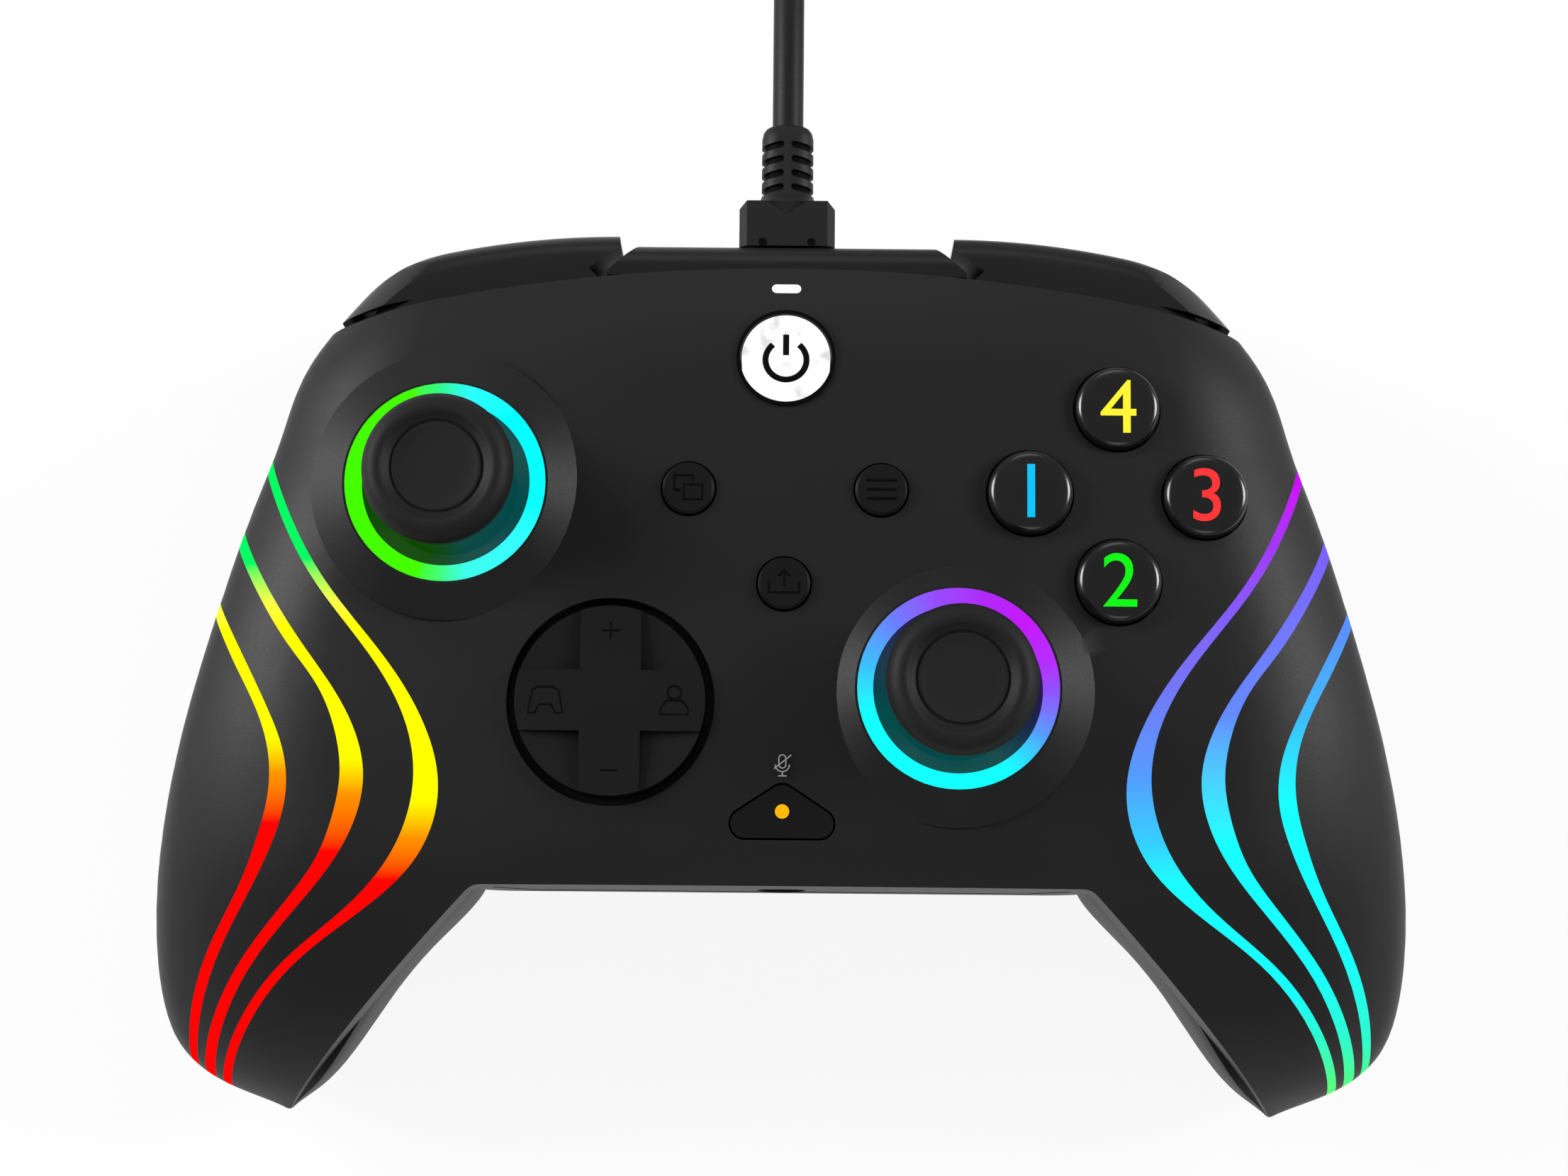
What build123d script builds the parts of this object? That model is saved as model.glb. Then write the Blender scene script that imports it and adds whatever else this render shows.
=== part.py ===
from build123d import *
import os
from math import cos, degrees, pi, radians, sin, sqrt, tan

# A wired gamepad that lies face up. +X is the player's right, +Y runs to the cable,
# +Z leaves the face, and the origin is the middle of the footprint on the table.

# Whole body
half_width = 78.7
near_reach = 54.2
face_height = 45.5
seam_height = 31.5
seam_flat_height = 37.5
seam_slope_share = 0.35
wall = 2.2
overrun = 6.0
moving_gap = 0.25
seat_gap = 0.3
pin_gap = 0.05
fit_gap = 0.1
hidden_sides = 8

# Rows of shares: place along near_reach, half width, seam height, face height
station_shares = (
    (1.030, 0.570, 1.000, 0.800),
    (0.923, 0.635, 1.000, 0.890),
    (0.812, 0.702, 1.000, 0.945),
    (0.701, 0.759, 1.000, 0.974),
    (0.572, 0.790, 1.000, 0.988),
    (0.295, 0.858, 0.978, 0.999),
    (0.000, 0.921, 0.937, 1.000),
    (-0.258, 0.968, 0.832, 0.989),
    (-0.498, 0.995, 0.679, 0.941),
    (-0.664, 0.998, 0.565, 0.835),
    (-0.793, 0.984, 0.483, 0.721),
    (-0.895, 0.944, 0.425, 0.593),
    (-0.950, 0.881, 0.400, 0.497),
    (-0.985, 0.818, 0.387, 0.415),
    (-1.000, 0.795, 0.384, 0.374),
)
crown_angle = 6.0
shoulder_angle = 45.0
edge_round_share = 0.62
hollow_near_share = -0.895
skin_rows = 18
seam_knee_share = 0.16

# Outline of the gap between the handles and of the lip over the bumpers
gap_half_width = 37.2
gap_edge = 27.2
gap_round = 2.5
tip_half_width = 62.3
tip_reach = 54.4
handle_bow = 0.4
lip_reach = 48.9
lip_end_reach = 41.6
lip_end_half_width = 57.0

# Rear of the handles: place along near_reach, inner side over half_width, bottom over face_height
handle_shares = (
    (0.812, 0.330, 0.374),
    (0.701, 0.330, 0.346),
    (0.572, 0.330, 0.319),
    (0.295, 0.381, 0.275),
    (0.000, 0.432, 0.176),
    (-0.258, 0.445, 0.066),
    (-0.498, 0.478, 0.004),
    (-0.664, 0.587, -0.003),
    (-0.793, 0.654, 0.026),
    (-0.895, 0.706, 0.088),
    (-0.950, 0.745, 0.149),
    (-0.985, 0.778, 0.202),
    (-0.998, 0.788, 0.233),
)
handle_hollow_rows = 10
handle_upper_power = 3.5
handle_lower_power = 2.3
handle_rise_share = 1.6
handle_sides = 16

# Rear of the middle: place along near_reach, half width over half_width, bottom over face_height
belly_shares = (
    (0.930, 0.60, 0.490),
    (0.812, 0.60, 0.400),
    (0.572, 0.62, 0.308),
    (0.295, 0.64, 0.275),
    (0.000, 0.66, 0.286),
    (-0.185, 0.62, 0.330),
    (-0.332, 0.56, 0.385),
    (-0.443, 0.51, 0.484),
    (-0.502, 0.473, 0.615),
)
belly_round_share = 0.4

# Places on the face, as shares of half_width to the right and towards the cable
left_stick_share = (-0.520, 0.264)
right_stick_share = (0.266, -0.047)
dpad_share = (-0.263, -0.069)
face_buttons_share = (0.513, 0.259)
menu_share = (0.148, 0.260)
capture_share = (0.0, 0.113)
guide_share = (0.0, 0.468)
status_share = (0.0, 0.5845)
audio_share = (0.0, -0.234)

# Light lines: shares of half_width to the right, towards the cable and in width
inner_line_shares = (
    (0.839, 0.394, 0.0127),
    (0.792, 0.260, 0.0152),
    (0.715, 0.118, 0.0172),
    (0.611, -0.015, 0.0210),
    (0.558, -0.113, 0.0286),
    (0.544, -0.178, 0.0368),
    (0.550, -0.241, 0.0426),
    (0.579, -0.306, 0.0432),
    (0.639, -0.370, 0.0330),
    (0.763, -0.465, 0.0216),
    (0.846, -0.563, 0.0178),
    (0.902, -0.712, 0.0140),
)
middle_line_shares = (
    (0.877, 0.254, 0.0191),
    (0.797, 0.089, 0.0216),
    (0.750, 0.019, 0.0229),
    (0.701, -0.048, 0.0222),
    (0.670, -0.113, 0.0305),
    (0.658, -0.178, 0.0362),
    (0.668, -0.241, 0.0368),
    (0.697, -0.306, 0.0299),
    (0.748, -0.370, 0.0260),
    (0.832, -0.465, 0.0222),
    (0.890, -0.563, 0.0203),
    (0.922, -0.724, 0.0152),
)
outer_line_shares = (
    (0.934, 0.178, 0.0178),
    (0.877, 0.062, 0.0184),
    (0.838, -0.010, 0.0203),
    (0.802, -0.078, 0.0191),
    (0.778, -0.144, 0.0241),
    (0.775, -0.209, 0.0286),
    (0.792, -0.273, 0.0280),
    (0.821, -0.337, 0.0229),
    (0.878, -0.432, 0.0210),
    (0.921, -0.530, 0.0184),
    (0.936, -0.595, 0.0146),
    (0.950, -0.712, 0.0127),
)
line_depth = 1.0

# Stick modules: heights above the table, then sizes from the pivot
board_top = 29.5
board_thick = 1.6
pivot_height = 36.5
ring_height = 46.8
ring_outer = 12.1
ring_inner = 10.2
ring_depth = 1.8
collar_lip = 0.3
collar_foot = 16.5
collar_rise = 2.6
collar_floor = 39.5
throat_radius = 8.2
dome_radius = 9.3
dome_gap = 0.45
cap_radius = 9.0
cap_rise = 21.5
cap_thick = 4.9
cap_dish = 0.8
cap_dish_radius = 5.6
cap_rim_round = 0.6
neck_radius = 3.9
dome_skirt_rise = 3.5
dome_wall = 1.2
shaft_radius = 1.5
shaft_foot = 2.5
shaft_rise = 16.0
click_travel = 0.5
housing_half = 7.25
housing_wall = 0.9
housing_floor = 0.8
housing_drop = 0.5
ear_half = 1.6
ear_rise = 1.8
pin_radius = 0.7
yoke_half = (4.75, 4.25)
yoke_wall = 1.25
yoke_half_height = 1.0
hub_half = 2.0
hub_half_height = 1.5
bail_outer = 6.1
bail_inner = 5.0
bail_half_width = 2.8
slot_half_width = 1.8
slot_half_length = 3.6
switch_half = 2.5
switch_gap = 0.45

# D-pad, which rocks on a cross pin
dpad_radius = 11.4
dpad_hole_radius = 12.5
dpad_flange_radius = 13.2
dpad_arm = 7.3
dpad_proud = 1.3
dpad_rim_proud = 0.8
dpad_dish = 1.0
dpad_floor = 40.0
dpad_flange_thick = 1.0
dpad_pivot_height = 36.0
dpad_block_half = 2.4
dpad_block_half_height = 1.2
dpad_pin_reach = 4.6
dpad_lug_thick = 1.3
dpad_lug_half = 1.5

# Face buttons
button_spread = 10.7
button_radius = 5.15
button_proud = 2.0
button_chamfer = 0.6
button_travel = 1.5
button_flange = 6.3
button_flange_thick = 1.0
button_stem = 2.2
guide_wall = 1.1
boss_floor = 39.5
pad_dome_rise = 3.0
pad_thick = 1.0
pad_dome_radius = 2.2
pad_web_half = 2.0

# Menu, view and capture buttons
small_radius = 3.15
small_proud = 0.7
small_chamfer = 0.3
small_travel = 0.8
small_flange = 4.2
small_flange_thick = 0.8
small_floor = 41.6
switch_cap_radius = 1.5

# Lit home button in its bezel, and the status light on the lip
guide_hole_radius = 6.05
guide_bezel_wall = 0.45
guide_bezel_proud = 0.35
guide_lens_gap = 0.2
guide_lens_proud = 0.2
guide_travel = 0.6
guide_angle = 5.0
guide_depth = 3.6
status_length = 3.6
status_width = 1.2

# Audio button, a rounded triangle with a light in it
audio_width = 12.3
audio_height = 6.3
audio_round = 1.7
audio_flange = 0.9
audio_flange_thick = 0.8
audio_boss_wall = 1.0
audio_floor = 40.6
audio_travel = 0.8
audio_light_radius = 0.85

# Bumpers and the bridge between them, below the lip
lip_wall = 1.2
lip_under = 3.6
tuck = 1.6
band_top = 38.0
band_round = 3.0
bumper_floor = 25.5
bumper_wall = 2.0
bumper_swing = 1.2
bumper_end_shares = ((0.2662, 0.7400), (0.2656, 0.6874), (0.2624, 0.6658), (0.3126, 0.6290), (0.2948, 0.6125))
bumper_line_shares = (
    (0.2300, 0.6880),
    (0.4219, 0.6785),
    (0.5349, 0.6595),
    (0.6925, 0.5699),
    (0.7116, 0.5210),
)
bumper_pivot = (21.0, 46.2)
bumper_eye_radius = 2.2
bumper_pin_radius = 1.0
bridge_half = 18.4
bridge_reach = 52.9
bridge_slant_half = 22.4
bridge_slant_reach = 49.2
bridge_near = 48.7
trunk_half = 16.0
trunk_near = 44.0
bridge_floor = 24.0
bridge_foot = 2.0

# Triggers
trigger_inner = 26.0
trigger_outer = 48.0
trigger_pivot = (41.6, 29.8)
trigger_face_shares = ((1.192, 0.835), (1.264, 0.680), (1.276, 0.420), (1.298, 0.190), (1.256, 0.075))
trigger_back_shares = ((1.256, 0.075), (1.196, 0.150), (1.124, 0.400), (1.062, 0.690), (0.978, 0.910))
trigger_brow_shares = ((0.976, 1.070), (1.075, 1.060), (1.086, 0.850))
trigger_plan = ((25.0, 54.6), (38.0, 53.7), (49.5, 49.4))
trigger_pin_radius = 1.2
bay_wall = 1.6
bay_near = 35.3
bay_side = 0.3
bracket_thick = 1.7
bracket_reach = 44.2
bracket_low = 18.0
bracket_top = 34.5

# Circuit board, sockets and screws
board_outline_shares = ((0.70, 0.412), (0.70, 0.052), (0.60, -0.102), (0.48, -0.279))
board_tongue_half = 12.0
board_tongue_reach = 50.6
tongue_gap = 0.3
screw_places_share = ((0.280, 0.394), (0.559, -0.152))
screw_boss_radius = 2.6
screw_post_radius = 3.2
screw_head_radius = 2.0
screw_head_thick = 1.6
screw_head_height = 20.0
screw_shank_radius = 1.0
screw_length = 16.0
jack_bore_radius = 1.78
jack_nose_radius = 2.8
jack_hole_radius = 3.0
jack_height = 32.6
jack_half_width = 3.3
jack_half_height = 2.9
jack_length = 13.0
jack_nose_inset = 0.3
usb_height = 31.1
usb_half_width = 4.6
usb_half_height = 1.6
usb_wall = 0.35
usb_near = 43.0
usb_far = 52.6
usb_tongue_gap = 0.15

# Rumble motors, one in each handle, with their off-centre weights
motor_place = (63.0, -29.0)
motor_height = 15.0
motor_radius = 6.2
motor_length = 11.0
motor_shaft_radius = 1.0
motor_shaft_length = 6.0
weight_radius = 7.0
weight_gap = 0.8
weight_length = 4.0
cradle_half = 7.4
cradle_thick = 1.6
cradle_inset = 1.4

# Cable: connector, strain relief, then the cord's route in millimetres
connector_half_width = 6.0
connector_half_height = 4.0
connector_near = 53.3
connector_far = 59.1
connector_chamfer = 0.95
relief_far = 69.3
relief_half_width = 3.1
relief_half_height = 2.8
relief_slots = 4
relief_slot = 0.7
relief_pitch = 1.85
relief_slot_depth = 1.9
relief_first = 1.9
cord_radius = 1.95
cord_sides = 8
cord_run_share = 0.45
run_route = (
    (0.0, 69.3, 31.1),
    (0.0, 84.0, 31.1),
    (0.0, 101.0, 27.0),
    (0.0, 117.0, 17.5),
    (0.0, 128.0, 10.0),
    (0.0, 139.0, 6.35),
    (0.0, 148.1, 6.35),
)
coil_start = (0.0, 152.0)
coil_half_turns = 10
coil_outer = 47.6
coil_pitch = 4.4
coil_floor = 2.0
coil_layer_rise = 4.35
coil_sides = 5
tail_route = ((0.0, 155.9, 2.0), (0.0, 163.6, 2.0), (0.0, 172.6, 3.4), (0.0, 180.0, 3.4))
plug_half_width = 7.5
plug_half_height = 3.4
plug_length = 25.0
plug_chamfer = 2.0
plug_shell_half_width = 6.0
plug_shell_half_height = 2.25
plug_shell_length = 12.0
plug_shell_wall = 0.4


def cross_plane(place):
    """A plane across the body at one place along it, with its own Y upwards."""
    return Plane(origin=(0, place, 0), x_dir=(1, 0, 0), z_dir=(0, -1, 0))


def side_plane(place):
    """A plane along the body at one width, with its own X towards the cable."""
    return Plane(origin=(place, 0, 0), x_dir=(0, 1, 0), z_dir=(1, 0, 0))


def slope(row, column):
    """How fast a column of the station table changes at one row."""
    before = station_shares[max(row - 1, 0)]
    after = station_shares[min(row + 1, len(station_shares) - 1)]
    return (after[column] - before[column]) / (after[0] - before[0])


def station(place, column):
    """A value of the station table at any place along the body, on a smooth curve."""
    share = place / near_reach
    row = 0
    while row < len(station_shares) - 2 and share < station_shares[row + 1][0]:
        row += 1
    far, near = station_shares[row], station_shares[row + 1]
    span = near[0] - far[0]
    step = min(max((share - far[0]) / span, 0), 1)
    back = 1 - step
    swing = back * slope(row, column) - step * slope(row + 1, column)
    level = back * (1 + 2 * step) * far[column] * back + step * (3 - 2 * step) * near[column] * step
    return level + span * step * back * swing


def skin_places(near_share):
    """Places for the skin's sections, closer together towards both ends."""
    far = station_shares[0][0] * near_reach
    near = near_share * near_reach
    turns = [cos(pi * row / skin_rows) for row in range(skin_rows + 1)]
    return [(far + near) / 2 + (far - near) / 2 * turn for turn in turns]


def shoulder(half, seam, top):
    """The radii of a section's edge and shoulder, and the half width of its crown."""
    lean = radians(crown_angle)
    steep = radians(shoulder_angle)
    shoulder_share = (1 - edge_round_share * sin(steep)) / (cos(lean) - cos(steep))
    run_share = edge_round_share * (1 - cos(steep)) + shoulder_share * (sin(steep) - sin(lean))
    rise = (top - seam - tan(lean / 2) * half) / (1 - tan(lean / 2) * run_share)
    return edge_round_share * rise, shoulder_share * rise, half - run_share * rise


def polar(angle, radius):
    """A vector of one length at an angle from the X axis, in radians."""
    return Vector(cos(angle), sin(angle)) * radius


def flip(point):
    """The mirror image of a sketch point across the middle of the body."""
    return Vector(-point.X, point.Y)


def arch_section(place, half, seam, top):
    """One section of the skin: upright sides, two rounds each side and a shallow crown."""
    edge_radius, shoulder_radius, crown_half = shoulder(half, seam, top)
    lean = radians(crown_angle)
    steep = radians(shoulder_angle)
    edge_centre = Vector(half - edge_radius, seam)
    edge_end = edge_centre + polar(steep, edge_radius)
    shoulder_centre = edge_end - polar(steep, shoulder_radius)
    shoulder_end = shoulder_centre + polar(pi / 2 - lean, shoulder_radius)
    edge_mid = edge_centre + polar(steep / 2, edge_radius)
    shoulder_mid = shoulder_centre + polar((steep + pi / 2 - lean) / 2, shoulder_radius)
    low = seam - overrun
    outline = [
        Line((-half, low), (half, low)),
        Line((half, low), (half, seam)),
        ThreePointArc((half, seam), edge_mid, edge_end),
        ThreePointArc(edge_end, shoulder_mid, shoulder_end),
        ThreePointArc(shoulder_end, (0, top), flip(shoulder_end)),
        ThreePointArc(flip(shoulder_end), flip(shoulder_mid), flip(edge_end)),
        ThreePointArc(flip(edge_end), flip(edge_mid), (-half, seam)),
        Line((-half, seam), (-half, low)),
    ]
    return cross_plane(place) * make_face(outline)


def skin_block(inset, near_share=station_shares[-1][0]):
    """The space under the face, drawn in by inset on the top and sides."""
    sections = []
    for place in skin_places(near_share):
        half = station(place, 1) * half_width - inset
        height = station(place, 3) * face_height - inset
        sections.append(arch_section(place, half, station(place, 2) * seam_height, height))
    return loft(sections)


def face_at(x, y):
    """The height of the face above the table, away from its shoulders."""
    half = station(y, 1) * half_width
    top = station(y, 3) * face_height
    crown_half = shoulder(half, station(y, 2) * seam_height, top)[2]
    return top - x * x / (2 * crown_half / sin(radians(crown_angle)))


def seam_block():
    """All that lies above the seam between the two shells, which rises inwards."""
    far = half_width + overrun
    high = face_height + 2 * overrun
    knee_floor = seam_knee_share * half_width
    sections = []
    places = skin_places(station_shares[-1][0])
    for place in [places[0] + overrun] + places + [places[-1] - overrun]:
        half = station(place, 1) * half_width
        side = station(place, 2) * seam_height
        knee = max(half - (seam_flat_height - side) / seam_slope_share, knee_floor)
        flat = side + seam_slope_share * (half - knee)
        low = side - seam_slope_share * (far - half)
        outline = Polyline((-far, low), (-knee, flat), (knee, flat), (far, low), (far, high), (-far, high), close=True)
        sections.append(cross_plane(place) * make_face(outline))
    return loft(sections)


def gap_sketch():
    """The plan of the gap between the handles."""
    bow_x = (gap_half_width + tip_half_width) / 2 + handle_bow
    bow_y = -(gap_edge + tip_reach) / 2
    end = tip_reach + overrun
    outline = [
        Line((-gap_half_width, -gap_edge), (gap_half_width, -gap_edge)),
        ThreePointArc((gap_half_width, -gap_edge), (bow_x, bow_y), (tip_half_width, -tip_reach)),
        Polyline(
            (tip_half_width, -tip_reach), (tip_half_width, -end), (-tip_half_width, -end), (-tip_half_width, -tip_reach)
        ),
        ThreePointArc((-tip_half_width, -tip_reach), (-bow_x, bow_y), (-gap_half_width, -gap_edge)),
    ]
    plan = make_face(outline)
    corners = plan.vertices().sort_by(Axis.Y)[-2:]
    return fillet(corners, gap_round)


def lip_arc(shift=0):
    """The edge of the face over the bumpers, moved towards the player by shift."""
    end = lip_end_reach - shift
    half = lip_end_half_width
    return ThreePointArc((-half, end), (0, lip_reach - shift), (half, end))


def lip_at(x):
    """The place of the lip's edge at one width."""
    drop = lip_reach - lip_end_reach
    radius = (lip_end_half_width**2 + drop**2) / (2 * drop)
    return lip_reach - radius + sqrt(radius**2 - x**2)


def beyond_lip(shift=0):
    """All that lies past the lip's edge, seen from above."""
    side = half_width + overrun
    end = lip_end_reach - shift
    half = lip_end_half_width
    high = near_reach + 2 * overrun
    rest = Polyline((half, end), (side, end), (side, high), (-side, high), (-side, end), (-half, end))
    return extrude(make_face([lip_arc(shift), rest]), face_height + overrun)


def handle_block(inset, rows=len(handle_shares)):
    """The right handle's rear, from its tip along the side of the body to the triggers."""
    sections = []
    for place, inner_share, low_share in handle_shares[:rows]:
        y = place * near_reach
        half = station(y, 1) * half_width
        seam = station(y, 2) * seam_height
        inner = inner_share * half_width
        reach = (half - inner) / 2 - inset
        drop = seam - low_share * face_height - inset
        rise = handle_rise_share * seam_slope_share * (half - inner)
        points = []
        for side in range(handle_sides):
            turn = 2 * pi * (side + 0.5) / handle_sides
            upper = sin(turn) > 0
            power = handle_upper_power if upper else handle_lower_power
            height = rise if upper else drop
            swell = (abs(cos(turn)) ** power + abs(sin(turn)) ** power) ** (-1 / power)
            points.append(((half + inner) / 2 + reach * swell * cos(turn), seam + height * swell * sin(turn)))
        sections.append(cross_plane(y) * make_face(Spline(*points, periodic=True)))
    return loft(sections)


def belly_block(inset):
    """The rear of the body between the handles."""
    sections = []
    high = seam_flat_height + overrun / 2
    for place, width_share, low_share in belly_shares:
        half = width_share * half_width - inset
        low = low_share * face_height + inset
        outline = make_face(Polyline((-half, low), (half, low), (half, high), (-half, high), close=True))
        corners = outline.vertices().sort_by(Axis.Y)[:2]
        outline = fillet(corners, belly_round_share * (high - low))
        sections.append(cross_plane(place * near_reach) * outline)
    return loft(sections)


upright = (Align.CENTER, Align.CENTER, Align.MIN)
from_corner = (Align.MIN, Align.MIN, Align.MIN)


def spot(share):
    """A place on the face from its shares."""
    return share[0] * half_width, share[1] * half_width


def peg(place, radius, low, high):
    """An upright cylinder between two heights."""
    return Pos(place[0], place[1], low) * Cylinder(radius, high - low, align=upright)


def slab(wide, deep, tall):
    """A box between two values on each axis."""
    corner = Pos(wide[0], deep[0], tall[0])
    return corner * Box(wide[1] - wide[0], deep[1] - deep[0], tall[1] - tall[0], align=from_corner)


def bar(start, end, radius):
    """A round bar between two points."""
    line = Vector(*end) - Vector(*start)
    return Plane(origin=start, z_dir=line) * Cylinder(radius, line.length, align=upright)


def prism(place, radius, low, high, sides=hidden_sides):
    """An upright many-sided post between two heights, its flats at the radius."""
    section = Pos(place[0], place[1], low) * RegularPolygon(radius, sides, major_radius=False)
    return extrude(section, high - low)


def rod(start, end, radius, sides=hidden_sides):
    """A many-sided bar between two points, its flats at the radius."""
    line = Vector(*end) - Vector(*start)
    section = Plane(origin=start, z_dir=line) * RegularPolygon(radius, sides, major_radius=False)
    return extrude(section, line.length)


def turned(points):
    """A solid turned about the Z axis from (radius, height) points."""
    return revolve(Plane.XZ * make_face(Polyline(*points, close=True)), Axis.Z)


def both(solid):
    """A piece with its mirror image on the other side of the body."""
    return solid + mirror(solid, about=Plane.YZ)


def pair(stem, solid, made):
    """Two mirrored pieces under the names of their sides."""
    right = solid.solid()
    made["right_" + stem] = right
    made["left_" + stem] = right.mirror(Plane.YZ)


def face_places():
    """The four face buttons: top, right, left and bottom."""
    x, y = spot(face_buttons_share)
    return {
        "top": (x, y + button_spread),
        "right": (x + button_spread, y),
        "left": (x - button_spread, y),
        "bottom": (x, y - button_spread),
    }


def small_places():
    """The three small buttons in the middle."""
    x, y = spot(menu_share)
    return {"menu": (x, y), "view": (-x, y), "capture": spot(capture_share)}


def screw_places():
    """The four case screws."""
    found = []
    for share in screw_places_share:
        x, y = spot(share)
        found += [(x, y), (-x, y)]
    return found


def line_prism(rows):
    """An upright prism with the plan of one light line on the right."""
    right = [((x + width / 2) * half_width, y * half_width) for x, y, width in rows]
    left = [((x - width / 2) * half_width, y * half_width) for x, y, width in rows]
    first = Line(left[0], right[0])
    last = Line(right[-1], left[-1])
    return extrude(make_face([first, Spline(*right), last, Spline(*left)]), face_height + overrun)


def audio_plan(shift):
    """The audio button's rounded triangle, grown by shift."""
    half = audio_width / 2 - audio_round
    rise = audio_height / 2 - audio_round
    core = make_face(Polyline((-half, -rise), (half, -rise), (0, rise), close=True))
    return Pos(*spot(audio_share)) * offset(core, audio_round + shift)


def collar_body():
    """The raised cone that carries a light ring, before its hole is cut."""
    top = ring_outer + collar_lip
    foot = ring_height - collar_rise
    points = ((0, collar_floor), (collar_foot, collar_floor), (collar_foot, foot), (top, ring_height), (0, ring_height))
    return turned(points)


def collar_hole():
    """The light ring's seat, the funnel below it and the room for the dome."""
    seat = ring_height - ring_depth
    ball = dome_radius + dome_gap
    throat = pivot_height + sqrt(ball**2 - throat_radius**2)
    high = ring_height + overrun
    points = (
        (0, collar_floor),
        (ball, collar_floor),
        (throat_radius, throat),
        (ring_inner, seat),
        (ring_outer, seat),
        (ring_outer, high),
        (0, high),
    )
    return turned(points)


def guide_frame():
    """The home button's own frame, on the face and square to it."""
    x, y = spot(guide_share)
    lean = radians(guide_angle)
    return Plane(origin=(x, y, face_at(x, y)), x_dir=(1, 0, 0), z_dir=(0, sin(lean), cos(lean)))


def front_bosses(skin):
    """Guides round the buttons and posts over the screws, up to the face."""
    bosses = [extrude(Pos(0, 0, audio_floor) * audio_plan(audio_boss_wall + moving_gap), overrun)]
    x, y = spot(face_buttons_share)
    half = button_radius + moving_gap + guide_wall
    reach = button_spread + half
    tall = (boss_floor, face_height)
    bosses.append(slab((x - reach, x + reach), (y - half, y + half), tall))
    bosses.append(slab((x - half, x + half), (y - reach, y + reach), tall))
    half = small_radius + moving_gap + guide_wall
    for x, y in small_places().values():
        bosses.append(slab((x - half, x + half), (y - half, y + half), (small_floor, face_height)))
    for place in screw_places():
        bosses.append(prism(place, screw_boss_radius, board_top, face_height))
    return Compound(bosses) & skin


def front_holes():
    """Every hole in the face."""
    high = face_height + overrun
    holes = []
    for place in face_places().values():
        holes.append(peg(place, button_radius + moving_gap, boss_floor, high))
    for place in small_places().values():
        holes.append(peg(place, small_radius + moving_gap, boss_floor, high))
    x, y = face_places()["right"]
    room = button_flange + moving_gap
    low = boss_floor - button_flange_thick - button_travel - 2 * seat_gap
    holes.append(prism((x, y), room, low, boss_floor, 2 * hidden_sides))
    for place in screw_places():
        holes.append(prism(place, screw_shank_radius, board_top, screw_head_height + screw_length))
    holes.append(peg(spot(dpad_share), dpad_hole_radius, boss_floor, high))
    holes.append(guide_frame() * Pos(0, 0, -overrun) * Cylinder(guide_hole_radius, 2 * overrun, align=upright))
    holes.append(extrude(Pos(0, 0, boss_floor) * audio_plan(moving_gap), 2 * overrun))
    status = Pos(*spot(status_share)) * SlotOverall(status_length, status_width)
    holes.append(extrude(status, face_height + overrun))
    for share in (left_stick_share, right_stick_share):
        holes.append(Pos(*spot(share)) * collar_hole())
    return holes


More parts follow.
